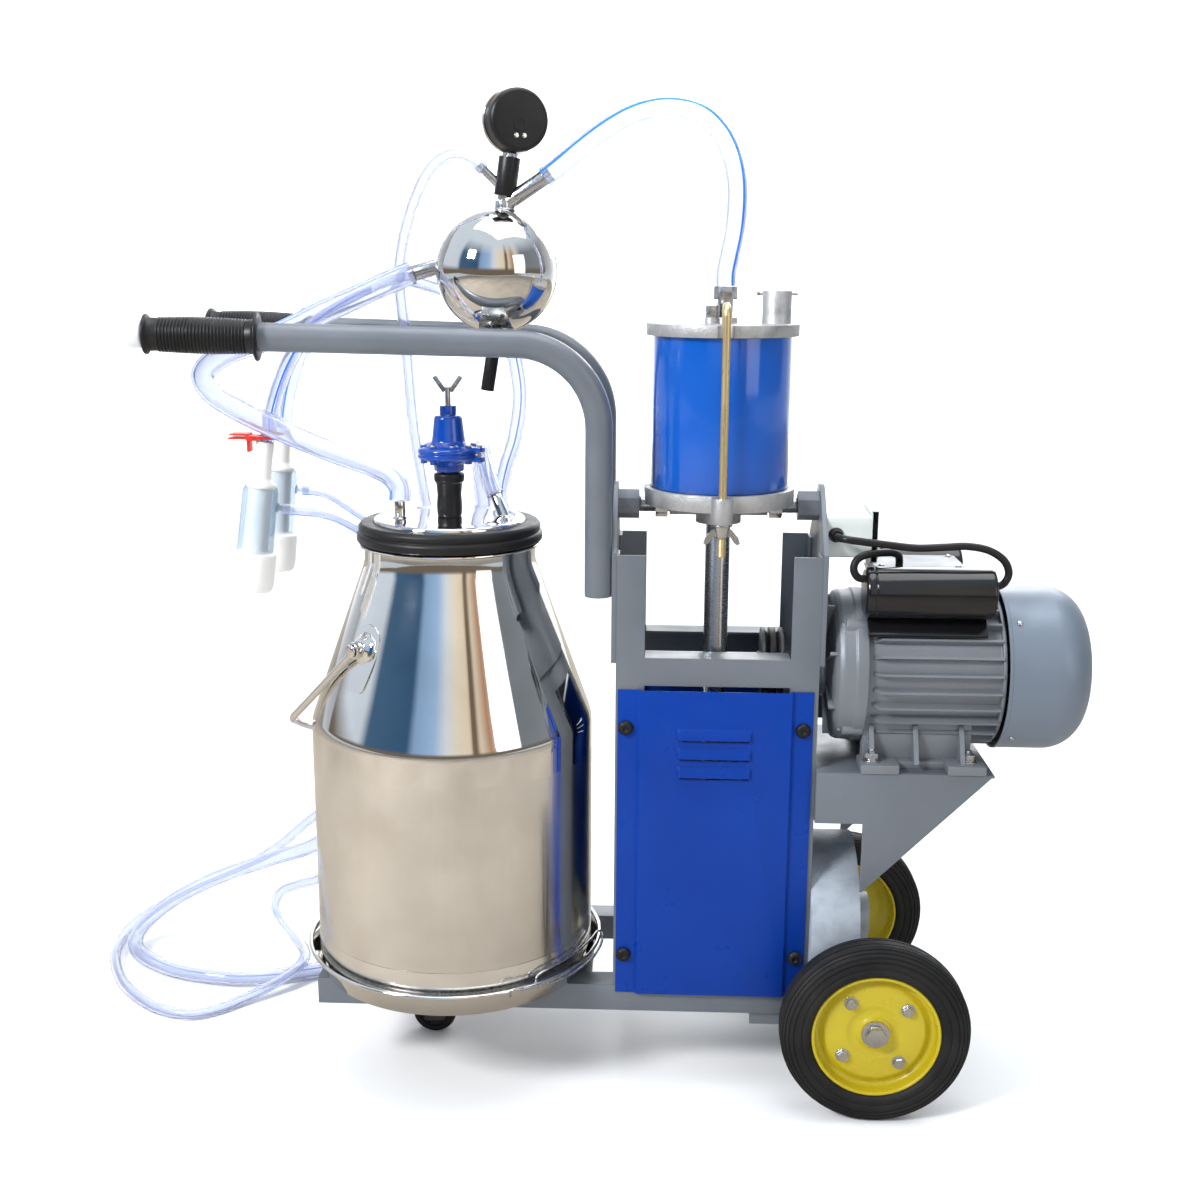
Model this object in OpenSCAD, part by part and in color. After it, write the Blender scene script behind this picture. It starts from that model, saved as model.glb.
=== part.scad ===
// Portable milking machine: a wheeled frame with a piston vacuum pump, a motor,
// a vacuum tank, a milk bucket and two teat cups.
// Millimetres, +Z up, +X towards the motor. The origin lies on the ground, in the
// middle of the machine. Sub-parts are placed from the tower's left face, at its middle.

/* [Frame] */
// Width of the tower, left to right
tower_w = 211; // [206:1:214]
// Depth of the tower, front to back
tower_d = 147; // [144:1:150]
// Height of the tower's posts above the ground
post_top = 598; // [590:1:606]
// Leg of the steel angle that the frame is welded from
angle_w = 30; // [28:1:32]
// Wall of the steel angle
angle_t = 3; // [2.5:0.5:4]
// Height of the base rails' upper face
rail_top = 120; // [118:1:122]

/* [Wheels] */
// Outer radius of the rear tyres
tyre_r = 100; // [98:1:101]
// Radius of the rear rims
rim_r = 68; // [64:1:70]
// Width of the rear tyres
tyre_w = 42; // [38:1:42]
// Radius of the rear axle
axle_r = 10; // [9:0.5:11]
// Radius of the caster wheel
caster_r = 25; // [24:0.5:26]

/* [Pump] */
// Outer radius of the pump cylinder
cylinder_r = 72; // [71:0.5:73]
// Wall of the pump cylinder
cylinder_wall = 3; // [2.5:0.5:4]
// Stroke of the piston
stroke = 90; // [70:2:90]
// Radius of the piston rod
rod_r = 13; // [11:0.5:14]
// Height of the trunnion axis
trunnion_z = 640; // [639:0.5:641]

/* [Motor] */
// Height of the motor's shaft
motor_z = 468; // [467:0.5:469]
// Outer radius of the motor's fins
fin_r = 84; // [80:1:84]
// Radius of the fan cover
fan_cover_r = 87.5; // [86:0.5:88]

/* [Bucket] */
// Outer radius of the bucket's body
bucket_r = 153; // [150:1:154]
// Height of the shoulder where the cone starts
shoulder_z = 405; // [395:1:410]
// Height of the bucket's rim
bucket_top = 598; // [597:0.5:598]
// Wall of the bucket
bucket_wall = 1.5; // [1.2:0.1:2]

/* [Tank and handles] */
// Radius of the vacuum tank
tank_r = 62; // [58:1:62]
// Radius of the handle tubes
handle_r = 14; // [13:0.5:14]
// Radius of the vacuum gauge
gauge_r = 31; // [28:1:31]

/* [Hidden] */
$fn = 64;

// Place of the tower's left face and middle plane, from the origin
tower_x = -6;
tower_y = -18.5;
// Running clearance on a radius
run = 0.05;
// Gap between flat faces of different bodies
gap = 0.3;

// Frame
front_y = -tower_d / 2;
back_y = tower_d / 2;
far_rail_y = 100;
rail_left_x = -325;
rail_bottom = rail_top - angle_w;
cross_bottom = 460;
far_rail_end_x = 294;
axle_x = 278;
// Thickness of the side plate that carries the axle at the front
carrier_t = 6;

// Wheels
near_wheel_y = -119;
far_wheel_y = 181;
rim_bolt_pcd = 85;
caster_x = -190;
caster_y = 40;
caster_trail = 23;
caster_pin_r = 4;
kingpin_r = 6;
caster_plate_z = 85;

// Pump
pump_x = 105.7;
cover_r = 79;
cylinder_bottom = 660;
cylinder_top = 817;
top_cover_top = 829;
bottom_cover_z = 643;
bush_r = 11;
bush_left_x = 54;
bush_right_x = 2 * pump_x - bush_left_x;
trunnion_r = 8;
piston_z = 664;
piston_h = 40;
crank_r = stroke / 2;
crank_z = 175;
shaft_r = 12.5;
big_end_z = crank_z - crank_r;
hook_r = 4;
hook_y = -87;

// Motor and belt
pulley_x = 155;
pulley_w = 23;
motor_pulley_r = 38;
driven_pulley_r = 60;
rotor_shaft_r = 12;
shelf_z = 372;
shelf_y = 84;
foot_x = [269, 369];
foot_y = 70;
drum_x = tower_w;
drum_w = 52;
drum_r = 95;

// Bucket
bucket_x = -180.7;
bucket_z = 126.5;
neck_r = 91;
neck_z = 578;
ear_z = 500;
ear_turn = 49;
bail_r = 4;
eye_x = 130.5;
bail_drop = 40;

// Tank, gauge and handles
tank_x = -128;
tank_z = 880;
gauge_x = -107;
gauge_z = 1028;
gauge_turn = 25;
leg_x = -19;
leg_y = 67;
leg_bottom = 554;
handle_bend_r = 85;
handle_bend_z = 725;
handle_splay = 5.3;
handle_rise = 1.3;
arm_l = 363;
grip_l = 110;

// Teat cups: top and bottom of each cup's centreline
cup_tops = [[-371, -20, 704], [-371, 57, 712]];
cup_feet = [[-393, -20, 545], [-388, 57, 554]];
cup_l = 160;

// Hoses: outer radius, and the points that each route goes through
vacuum_hose_r = 12;
milk_hose_r = 9.5;
milk_tube_r = 8;
pulse_hose_r = 6.5;
pulse_tube_r = 5.5;
cable_r = 4;
hose_sides = 8;

pump_route = [
    [-78, 0, 972], [-60, 0, 986], [-38, 0, 1004], [-14, 0, 1021], [10, 0, 1034],
    [34, 0, 1041], [58, 0, 1041], [80, 0, 1034], [98, 0, 1018], [110, 0, 996],
    [116, 0, 972], [117, 0, 946], [115, 0, 920], [111, 0, 898], [107.7, 0, 880],
    [107.7, 0, 866.4]
];
bucket_route = [
    [-215, 0, 878], [-243, -4, 866], [-278, -12, 850], [-308, -22, 836],
    [-336, -35, 821], [-364, -46, 809], [-390, -55, 800], [-411, -60, 788],
    [-420, -62, 774], [-410, -62, 757], [-385, -58, 740], [-356, -54, 725],
    [-322, -47, 709], [-288, -38, 694], [-260, -26, 682], [-241, -16, 670],
    [-232, -12, 656], [-232, -12, 642.4]
];
milk_route = [
    [-134.2, 19.2, 645.4], [-141, 26, 660], [-149, 45, 680], [-156, 78, 690],
    [-161, 108, 676], [-162, 128, 640], [-160, 148, 590], [-158, 172, 530],
    [-162, 192, 460], [-172, 202, 400], [-195, 206, 345], [-235, 205, 295],
    [-285, 200, 250], [-335, 196, 205], [-391, 195, 164], [-449, 205, 140],
    [-521, 220, 108], [-580, 230, 74], [-620, 236, 42], [-638, 232, 20],
    [-636, 212, 10.5], [-614, 182, 10.5], [-575, 154, 10.5], [-530, 138, 10.5],
    [-480, 131, 10.5], [-430, 138, 10.5], [-382, 158, 10.5], [-325, 178, 10.5],
    [-265, 195, 12], [-205, 205, 20], [-155, 208, 42], [-122, 205, 85],
    [-105, 200, 140], [-98, 198, 210], [-96, 197, 290], [-97, 196, 370],
    [-101, 192, 450], [-112, 176, 525], [-130, 158, 580], [-141, 143, 620],
    [-135, 132, 655], [-122, 120, 695], [-115, 109, 740], [-119, 105, 780],
    [-128, 106, 812], [-146, 104, 838], [-172, 90, 853], [-197, 70, 862],
    [-216, 50, 869], [-234, 34, 873]
];
pulse_route = [
    [-140, 0, 980.2], [-150, 0.5, 988.8], [-163, 3, 995], [-180, 10, 994], [-198, 19, 982],
    [-216, 32, 954], [-231, 44, 915], [-238, 52, 880], [-238, 58, 848],
    [-235, 62, 812], [-234, 72, 770], [-233, 86, 720], [-229, 106, 660],
    [-222, 128, 600], [-208, 158, 560], [-195, 186, 522], [-189, 206, 475],
    [-189, 222, 415], [-200, 230, 350], [-230, 230, 292], [-285, 224, 246],
    [-335, 220, 218], [-388, 217, 198], [-444, 227, 149], [-504, 242, 106],
    [-568, 258, 72], [-622, 264, 42], [-658, 258, 16], [-664, 228, 7],
    [-650, 175, 7], [-615, 112, 7], [-564, 62, 7], [-516, 44, 7],
    [-484, 56, 7], [-456, 83, 8], [-424, 108, 16], [-401, 132, 26],
    [-397, 154, 28], [-404, 182, 24], [-418, 212, 20], [-438, 236, 26],
    [-456, 250, 42], [-458, 250, 60], [-444, 242, 80], [-420, 230, 94],
    [-392, 222, 106], [-355, 220, 126], [-318, 226, 160], [-287, 238, 204],
    [-264, 252, 262], [-251, 260, 335], [-248, 258, 410], [-252, 246, 480],
    [-258, 212, 530], [-262, 160, 565], [-258, 126, 578]
];
near_milk_route = [
    [-264, 24, 862], [-280, 19, 854], [-300, 11, 841], [-320, 2, 823],
    [-337, -6, 801], [-350, -12, 776], [-360, -17, 747], [-366, -19, 722],
    [-368.5, -20, 704.3]
];
far_milk_route = [
    [-266, 41, 862], [-282, 44, 857], [-302, 48, 847], [-321, 52, 830],
    [-338, 55, 808], [-351, 57, 782], [-361, 57, 754], [-366, 57, 730],
    [-368.5, 57, 712.3]
];
near_pulse_route = [
    [-355, -20, 633], [-340, -18, 631], [-322, -6, 627], [-306, 14, 618],
    [-294, 38, 605], [-282, 62, 592], [-268, 84, 581], [-258, 98, 578]
];
far_pulse_route = [
    [-353, 57, 641], [-338, 60, 640], [-322, 70, 632], [-304, 84, 616],
    [-287, 96, 601], [-272, 106, 592]
];
cable_route = [
    [226, -48, 616], [227, -58, 616], [234, -66, 616], [250, -67, 614],
    [276, -66, 611], [304, -65, 608], [332, -64, 609], [356, -63, 610],
    [378, -62, 606], [394, -62, 596], [400, -62, 583], [396, -62, 572],
    [386, -62, 567]
];
lead_route = [
    [254, -60, 574], [247, -60, 576], [243, -59, 584], [246, -57, 593],
    [256, -53, 598], [270, -48, 599], [284, -40, 598], [292, -33, 594],
    [294, -30, 588], [294, -30, 582]
];

// ---------------------------------------------------------------- helpers

module at_tower() {
    translate([tower_x, tower_y, 0]) children();
}

// A cylinder along +X or +Y from a point
module x_rod(r, l) {
    rotate([0, 90, 0]) cylinder(r = r, h = l);
}

module y_rod(r, l) {
    rotate([-90, 0, 0]) cylinder(r = r, h = l);
}

// Children drawn along +Z are turned to point from one place to another
module from_to(a, b) {
    d = b - a;
    translate(a)
        rotate([0, acos(d[2] / norm(d)), atan2(d[1], d[0])])
            children();
}

module rod_between(a, b, r) {
    from_to(a, b) cylinder(r = r, h = norm(b - a));
}

// Hexagonal bar along +Z, sized across its flats
module hex_bar(flats, h) {
    cylinder(r = flats / sqrt(3), h = h, $fn = 6);
}

// Points along a smooth curve through a route
function blend_point(p, q, r, s, t) =
    0.5 * (2 * q + (r - p) * t + (2 * p - 5 * q + 4 * r - s) * t * t
        + (3 * q - p - 3 * r + s) * t * t * t);
function smooth(route, steps) = [
    for (i = [0 : len(route) - 2], j = [0 : steps - 1])
        blend_point(route[max(i - 1, 0)], route[i], route[i + 1],
            route[min(i + 2, len(route) - 1)], j / steps),
    route[len(route) - 1]
];
function unit(v) = v / norm(v);
function tangents(p) = [
    for (i = [0 : len(p) - 1])
        unit(p[min(i + 1, len(p) - 1)] - p[max(i - 1, 0)])
];
function square_to(v, t) = unit(v - (v * t) * t);
function carried(t, done) =
    len(done) == len(t) ? done
    : carried(t, concat(done, [square_to(done[len(done) - 1], t[len(done)])]));

// A tube swept along points, closed at both ends
module sweep(p, r, sides) {
    t = tangents(p);
    start = abs(t[0][2]) > 0.9 ? [0, 1, 0] : [0, 0, 1];
    u = carried(t, [square_to(start, t[0])]);
    rings = [
        for (i = [0 : len(p) - 1], k = [0 : sides - 1])
            let (a = 360 * k / sides)
            p[i] + r * (cos(a) * u[i] + sin(a) * cross(t[i], u[i]))
    ];
    walls = [
        for (i = [0 : len(p) - 2], k = [0 : sides - 1])
            let (a = i * sides + k, b = i * sides + (k + 1) % sides)
            [a, a + sides, b + sides, b]
    ];
    last = (len(p) - 1) * sides;
    ends = [
        [for (k = [0 : sides - 1]) k],
        [for (k = [sides - 1 : -1 : 0]) last + k]
    ];
    polyhedron(points = rings, faces = concat(walls, ends), convexity = 6);
}

// ---------------------------------------------------------------- frame

// Rail with its upright leg at the front and its flat leg on top
module rail(x0, x1, y) {
    translate([x0, y, rail_bottom]) cube([x1 - x0, angle_t, angle_w]);
    translate([x0, y, rail_top - angle_t]) cube([x1 - x0, angle_w, angle_t]);
}

module cross_rail(x) {
    depth = far_rail_y - front_y;
    translate([x, front_y, rail_top - angle_t]) cube([angle_w, depth, angle_t]);
    translate([x, front_y, rail_bottom]) cube([angle_t, depth, angle_w]);
}

module base_frame() {
    color("silver") at_tower() {
        difference() {
            union() {
                rail(rail_left_x, tower_w, front_y);
                rail(rail_left_x, far_rail_end_x, far_rail_y);
                cross_rail(rail_left_x);
                cross_rail(-angle_w - 24);
                cross_rail(0);
                cross_rail(tower_w - angle_w);
                caster_strip();
                carrier();
                translate([axle_x, far_rail_y, tyre_r]) y_rod(15, angle_t);
            }
            translate([caster_x, caster_y, 0]) cylinder(r = kingpin_r + run, h = 100);
            big_end_notch();
            translate([axle_x, -90, tyre_r]) y_rod(axle_r, 220);
        }
    }
}

// Cut in the front rail's flange that the swinging big end passes
module big_end_notch() {
    translate([86, front_y + angle_t, rail_top - angle_t - 1])
        cube([38, angle_w, angle_t + 2]);
}

module caster_strip() {
    strip_w = 50;
    translate([caster_x - strip_w / 2, front_y, caster_plate_z])
        cube([strip_w, far_rail_y + angle_t - front_y, rail_bottom - caster_plate_z]);
}

// Plate inside the front rail that reaches back to the axle, under the drum
module carrier() {
    y = front_y + angle_t;
    translate([150, y, 76]) cube([axle_x - 150, carrier_t, 27]);
    translate([axle_x, y, tyre_r]) y_rod(15, carrier_t);
    translate([150, y, 76]) cube([30, carrier_t, 30]);
}

// One corner post, with its corner at the origin and its legs along +X and +Y
module post() {
    h = post_top - rail_top;
    cube([angle_w, angle_t, h]);
    cube([angle_t, angle_w, h]);
}

module cross_bar(l) {
    cube([l, angle_t, angle_w]);
    translate([0, 0, angle_w - angle_t]) cube([l, angle_w, angle_t]);
}

module side_bar(x, z) {
    translate([x, front_y + angle_w, z]) cube([angle_t, tower_d - 2 * angle_w, angle_w]);
}

module tower_frame() {
    inner_w = tower_w - 2 * angle_w;
    color("silver") at_tower() {
        for (sx = [0, 1], sy = [0, 1])
            translate([sx * tower_w, front_y + sy * tower_d, rail_top])
                mirror([sx, 0, 0]) mirror([0, sy, 0]) post();
        for (sy = [0, 1]) {
            translate([angle_w, front_y + sy * tower_d, cross_bottom])
                mirror([0, sy, 0]) cross_bar(inner_w);
            translate([angle_w, front_y + sy * (tower_d - angle_t), rail_top])
                cube([inner_w, angle_t, angle_w]);
        }
        for (x = [0, tower_w - angle_t]) side_bar(x, rail_top);
        side_bar(0, cross_bottom);
    }
}

module motor_bracket() {
    right_x = 395;
    tip_x = 261;
    side_t = 3;
    outline = [
        [tower_w, shelf_z], [right_x, shelf_z], [tip_x + 2, 239],
        [tip_x, 239], [tip_x, 316], [tower_w, 316]
    ];
    color("silver") at_tower() difference() {
        union() {
            translate([tower_w, -shelf_y, shelf_z - side_t])
                cube([right_x - tower_w, 2 * shelf_y, side_t]);
            for (y = [-shelf_y + side_t, shelf_y])
                translate([0, y, 0]) rotate([90, 0, 0])
                    linear_extrude(height = side_t) polygon(outline);
            translate([tower_w, -shelf_y, 316])
                cube([side_t, 2 * shelf_y, shelf_z - 316]);
        }
        for (x = foot_x, y = [-foot_y, foot_y])
            translate([x, y, shelf_z - 10]) cylinder(r = 4.5, h = 20);
    }
}

panel_top = 456;
panel_t = 2;
panel_rise = 4;

// Folded sheet that stands on y = 0 and faces -Y, with three louvres
module panel_sheet(bottom) {
    h = panel_top - bottom;
    x0 = 2.5;
    x1 = 206.4;
    fold = 23;
    translate([0, 0, bottom]) difference() {
        linear_extrude(height = h) polygon([
            [x0, 0], [x0, -panel_t], [x0 + fold - 3, -panel_t],
            [x0 + fold, -panel_t - panel_rise], [x1 - fold, -panel_t - panel_rise],
            [x1 - fold + 3, -panel_t], [x1, -panel_t], [x1, 0],
            [x1 - fold, 0], [x1 - fold - 3, -panel_rise],
            [x0 + fold + 3, -panel_rise], [x0 + fold, 0]
        ]);
        for (z = [362, 382.5, 403])
            translate([68, -panel_rise - panel_t - 1, z - bottom - 1.5])
                cube([72, panel_t + 2, 3]);
    }
    for (z = [362, 382.5, 403])
        translate([67, -panel_rise - panel_t - 3, z + 1.5]) cube([74, 5, 1.5]);
}

module front_panel() {
    color("royalblue") at_tower() translate([0, front_y, 0]) panel_sheet(113);
}

module rear_panel() {
    color("royalblue") at_tower()
        translate([0, back_y, 0]) mirror([0, 1, 0]) panel_sheet(rail_top);
}

knob_x = [11, 196];
knob_z = [158, 415];

module knob() {
    knob_r = 8;
    rotate([90, 0, 0]) rotate_extrude() polygon([
        [0, 0], [knob_r, 0], [knob_r, 2], [knob_r - 2, 5], [3, 6], [0, 6]
    ]);
}

module foot_bolt() {
    translate([0, 0, 10]) cylinder(r = 9, h = 1.6);
    translate([0, 0, 11.6]) hex_bar(13, 6.5);
    translate([0, 0, -9]) cylinder(r = 4, h = 31);
    translate([0, 0, -9]) hex_bar(13, 6);
}

module frame_fasteners() {
    color("dimgray") at_tower() {
        for (x = knob_x, z = knob_z) {
            translate([x, front_y - panel_t, z]) knob();
            translate([x, back_y + panel_t, z]) mirror([0, 1, 0]) knob();
        }
        for (x = foot_x, y = [-foot_y, foot_y]) translate([x, y, shelf_z]) foot_bolt();
    }
}

// ---------------------------------------------------------------- wheels

module axle() {
    near_end = near_wheel_y - 11;
    far_end = far_wheel_y + 11;
    color("silver") at_tower() translate([axle_x, 0, tyre_r]) {
        translate([0, near_end, 0]) y_rod(axle_r, far_end - near_end);
        for (side = [0, 1])
            translate([0, side == 0 ? near_end : far_end, 0])
                mirror([0, side, 0]) rotate([90, 0, 0]) {
                    cylinder(r = 15, h = 2);
                    translate([0, 0, 2]) hex_bar(19, 7);
                }
    }
}

// Wheel parts are turned about +Z with the outer side up, then laid along Y
module wheel_turned(side, y) {
    translate([axle_x, y, tyre_r]) mirror([0, side, 0]) rotate([90, 0, 0]) children();
}

module rim_shape() {
    hub_r = 18;
    barrel_r = rim_r - 2.5;
    half = tyre_w / 2 - 3;
    rotate_extrude() polygon([
        [axle_r + run, -10.5], [hub_r, -10.5], [hub_r, 2], [30, 4], [50, 4],
        [barrel_r - 4, -3], [barrel_r, -half], [rim_r, -half], [rim_r, half],
        [barrel_r, half], [barrel_r - 2, 4], [52, 8], [30, 8], [hub_r, 10.5],
        [axle_r + run, 10.5]
    ]);
    for (a = [38.5 : 90 : 360])
        rotate(a) translate([rim_bolt_pcd / 2, 0, 8]) {
            hex_bar(11, 5);
        }
}

module tyre_shape() {
    half = tyre_w / 2;
    rotate_extrude($fn = 96) polygon([
        [rim_r, -half + 4], [rim_r + 4, -half], [rim_r + 12, -half],
        [tyre_r - 7, -half + 3], [tyre_r - 1.5, -half + 9], [tyre_r, -half + 13],
        [tyre_r, half - 13], [tyre_r - 1.5, half - 9], [tyre_r - 7, half - 3],
        [rim_r + 12, half], [rim_r + 4, half], [rim_r, half - 4]
    ]);
}

module near_rim() {
    color("yellow") at_tower() wheel_turned(0, near_wheel_y) rim_shape();
}

module near_tyre() {
    color("black") at_tower() wheel_turned(0, near_wheel_y) tyre_shape();
}

module far_rim() {
    color("yellow") at_tower() wheel_turned(1, far_wheel_y) rim_shape();
}

module far_tyre() {
    color("black") at_tower() wheel_turned(1, far_wheel_y) tyre_shape();
}

module caster_fork() {
    crown_z = 60;
    cheek_y = 13;
    color("dimgray") at_tower() translate([caster_x, caster_y, 0]) {
        swivel_z = crown_z + 4;
        translate([0, 0, swivel_z]) cylinder(r = 18, h = caster_plate_z - swivel_z - gap);
        translate([0, 0, swivel_z]) cylinder(r = kingpin_r, h = 96 - swivel_z);
        translate([0, 0, rail_bottom + gap]) cylinder(r = 10, h = 5);
        translate([-35, -cheek_y - 3, crown_z]) cube([50, 2 * cheek_y + 6, 4]);
        for (side = [0, 1]) mirror([0, side, 0]) translate([0, cheek_y, 0]) difference() {
            translate([0, 3, 0]) rotate([90, 0, 0]) linear_extrude(height = 3) polygon([
                [-35, crown_z], [15, crown_z], [-12, 18], [-34, 18]
            ]);
            translate([-caster_trail, -1, caster_r]) y_rod(caster_pin_r, 8);
        }
        translate([-caster_trail, -cheek_y - 5, caster_r])
            y_rod(caster_pin_r, 2 * cheek_y + 10);
    }
}

module caster_wheel() {
    color("black") at_tower()
        translate([caster_x - caster_trail, caster_y + 10, caster_r])
            rotate([90, 0, 0]) difference() {
                rotate_extrude() polygon([
                    [caster_pin_r + run, 0], [8, 0], [8, 3], [18, 3], [18, 0],
                    [caster_r - 2, 0], [caster_r, 3], [caster_r, 17],
                    [caster_r - 2, 20], [18, 20], [18, 17], [8, 17], [8, 20],
                    [caster_pin_r + run, 20]
                ]);
                for (a = [0 : 60 : 300])
                    rotate(a) translate([13, 0, -1]) cylinder(r = 3.5, h = 22);
            }
}

// ---------------------------------------------------------------- handles

// One handle seen from its leg: the arm runs along -X
module handle_tube() {
    turn = 90 - handle_rise;
    translate([0, 0, leg_bottom]) cylinder(r = handle_r, h = handle_bend_z - leg_bottom);
    translate([-handle_bend_r, 0, handle_bend_z]) rotate([90, 0, 0])
        rotate_extrude(angle = turn) translate([handle_bend_r, 0]) circle(r = handle_r);
    on_arm() cylinder(r = handle_r, h = arm_l);
}

// Children along +Z start where the arm leaves the bend
module on_arm() {
    turn = 90 - handle_rise;
    translate([
        -handle_bend_r + handle_bend_r * cos(turn), 0,
        handle_bend_z + handle_bend_r * sin(turn)
    ]) rotate([0, -turn, 0]) children();
}

module handle_place(side) {
    translate([leg_x, side * leg_y, 0]) rotate(-side * handle_splay) children();
}

module near_handle() {
    color("silver") at_tower() handle_place(-1) handle_tube();
}

module far_handle() {
    color("silver") at_tower() handle_place(1) handle_tube();
}

module handle_grips() {
    grip_start = arm_l - grip_l - 2;
    color("black") at_tower() for (side = [-1, 1]) handle_place(side) on_arm() {
        translate([0, 0, grip_start]) rotate_extrude() polygon(concat(
            [[handle_r, 0], [20, 0], [20, 5], [17.5, 7]],
            [for (i = [0 : 11], k = [0, 1, 2, 3])
                [k == 0 || k == 3 ? 16.5 : 18, 9 + 7.5 * i + 1.6 * k]],
            [[17.5, grip_l - 7], [19, grip_l - 5], [19, grip_l], [handle_r, grip_l]]
        ));
        translate([0, 0, arm_l]) cylinder(r = handle_r - 0.5, h = 10);
        translate([0, 0, arm_l + 10]) cylinder(r1 = 14, r2 = 10, h = 9);
    }
}

// ---------------------------------------------------------------- tank

module vacuum_tank() {
    wall = 1.5;
    color("gainsboro") at_tower() {
        translate([tank_x, 0, tank_z]) difference() {
            union() {
                tank_body(tank_r);
                rod_between([8, 0, 55], [8, 0, 70], 9);
                rod_between([-50, 0, 7], [-90, 0, -4], 8);
            }
            tank_body(tank_r - wall);
            rod_between([8, 0, 40], [8, 0, 75], 6);
            rod_between([-40, 0, 9.75], [-95, 0, -5.4], 5.5);
        }
        top_tee();
        tank_plate();
    }
}

// Two domes on a short band, turned about the Y axis
module tank_body(r) {
    seam_half = 4;
    rotate([90, 0, 0]) rotate_extrude($fn = 96) {
        for (side = [0, 1]) mirror([0, side]) translate([0, seam_half])
            intersection() {
                circle(r = r, $fn = 96);
                square(r);
            }
        translate([0, -seam_half]) square([r, 2 * seam_half]);
    }
}

// Cross on top of the tank: two slanted nozzles and the gauge's riser
module top_tee() {
    difference() {
        union() {
            rod_between([-119.6, 0, 950], [-113, 0, 996], 7);
            rod_between([-116, 0, 948], [-72, 0, 977], 8);
            rod_between([-117, 0, 958], [-145, 0, 985], 4.5);
        }
        rod_between([-118, 0, 946], [-70, 0, 978.3], 5.5);
    }
}

module tank_plate() {
    plate_z = 812;
    plate_half = 66;
    translate([tank_x - 20, -plate_half, plate_z]) cube([40, 2 * plate_half, 4]);
    translate([tank_x, 0, plate_z + 4]) cylinder(r = 22, h = 6);
    rod_between([-130, 0, 813], [-134, 0, 788], 5);
}

module tank_sleeves() {
    color("black") at_tower() {
        difference() {
            rod_between([-119, 0, 954.5], [-113.5, 0, 992.5], 11);
            rod_between([-116, 0, 948], [-72, 0, 977], 9);
            rod_between([-117, 0, 958], [-145, 0, 985], 5.5);
            rod_between([-119.6, 0, 950], [-113, 0, 996], 7);
        }
        difference() {
            rod_between([-131, 0, 807], [-139, 0, 758], 7);
            rod_between([-130, 0, 813], [-134, 0, 788], 5);
        }
    }
}

// Children are drawn with the gauge's face up, then turned to face away
module gauge_place() {
    translate([gauge_x, 0, gauge_z]) rotate([-90, 0, gauge_turn]) children();
}

module gauge_case() {
    depth = 26;
    color("black") at_tower() {
        gauge_place() difference() {
            translate([0, 0, -depth / 2]) rotate_extrude() polygon([
                [0, 0], [gauge_r - 3, 0], [gauge_r, 3], [gauge_r, depth - 6],
                [gauge_r + 1.5, depth - 5], [gauge_r + 1.5, depth - 1],
                [gauge_r, depth], [gauge_r - 4, depth], [gauge_r - 4, depth - 6],
                [0, depth - 6]
            ]);
            cylinder(r = 1.5 + run, h = depth);
        }
        rod_between([-112.9, 0, 996.5], [-112, 0, 1000], 6);
    }
}

module gauge_needle() {
    color("red") at_tower() gauge_place() {
        translate([0, 0, 2]) cylinder(r = 1.5, h = 7.5);
        translate([0, 0, 8.2]) cylinder(r = 3, h = 1.3);
        translate([0, 0, 8.2]) rotate(135) translate([-6, -0.8, 0]) cube([26, 1.6, 1]);
    }
}

// ---------------------------------------------------------------- pump

module at_pump() {
    at_tower() translate([pump_x, 0, 0]) children();
}

module pump_cylinder() {
    color("royalblue") at_pump() translate([0, 0, cylinder_bottom]) difference() {
        cylinder(r = cylinder_r, h = cylinder_top - cylinder_bottom, $fn = 96);
        translate([0, 0, -1])
            cylinder(r = cylinder_r - cylinder_wall, h = 200, $fn = 96);
    }
}

// Ear on a cover's edge that a hook bolt passes
module cover_ear(z, h, front) {
    translate([0, front * cover_r, z]) difference() {
        union() {
            translate([-11, -8, 0]) cube([22, 16, h]);
            translate([0, front * 8, 0]) cylinder(r = 11, h = h);
        }
        translate([0, front * 8, -1]) cylinder(r = hook_r + 0.5, h = h + 2);
    }
}

module pump_top_cover() {
    color("silver") at_pump() difference() {
        union() {
            translate([0, 0, cylinder_top])
                cylinder(r = cover_r, h = top_cover_top - cylinder_top, $fn = 96);
            translate([2, 0, top_cover_top]) cylinder(r = 13, h = 6);
            translate([55, 0, top_cover_top]) cylinder(r = 15, h = 33);
            translate([-12, -10, top_cover_top]) cylinder(r = 7, h = 6);
        }
        translate([55, 0, top_cover_top + 6]) cylinder(r = 11.5, h = 40);
        translate([2, 0, cylinder_top - 1]) cylinder(r = 4, h = 40);
        translate([30, 0, top_cover_top + 30]) x_rod(1.6, 50);
        for (side = [-1, 1])
            translate([0, side * (cover_r + 8), cylinder_top - 1])
                cylinder(r = 12, h = 40);
    }
}

module pump_bottom_cover() {
    color("silver") at_pump() difference() {
        union() {
            translate([0, 0, bottom_cover_z])
                cylinder(r = cover_r, h = cylinder_bottom - bottom_cover_z, $fn = 96);
            translate([0, 0, 622]) cylinder(r = 24, h = 24);
            for (side = [0, 1]) mirror([side, 0, 0])
                translate([15, 0, trunnion_z])
                    x_rod(bush_r, pump_x - bush_left_x - 15);
            for (front = [-1, 1]) cover_ear(634, 26, front);
        }
        translate([0, 0, 600]) cylinder(r = rod_r + run, h = 100);
        for (side = [0, 1]) mirror([side, 0, 0])
            translate([pump_x - bush_left_x, 0, trunnion_z]) x_rod(14.5, 40);
        for (front = [-1, 1])
            translate([0, front * (cover_r + 8), 600])
                cylinder(r = hook_r + 0.5, h = 100);
    }
}

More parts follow.
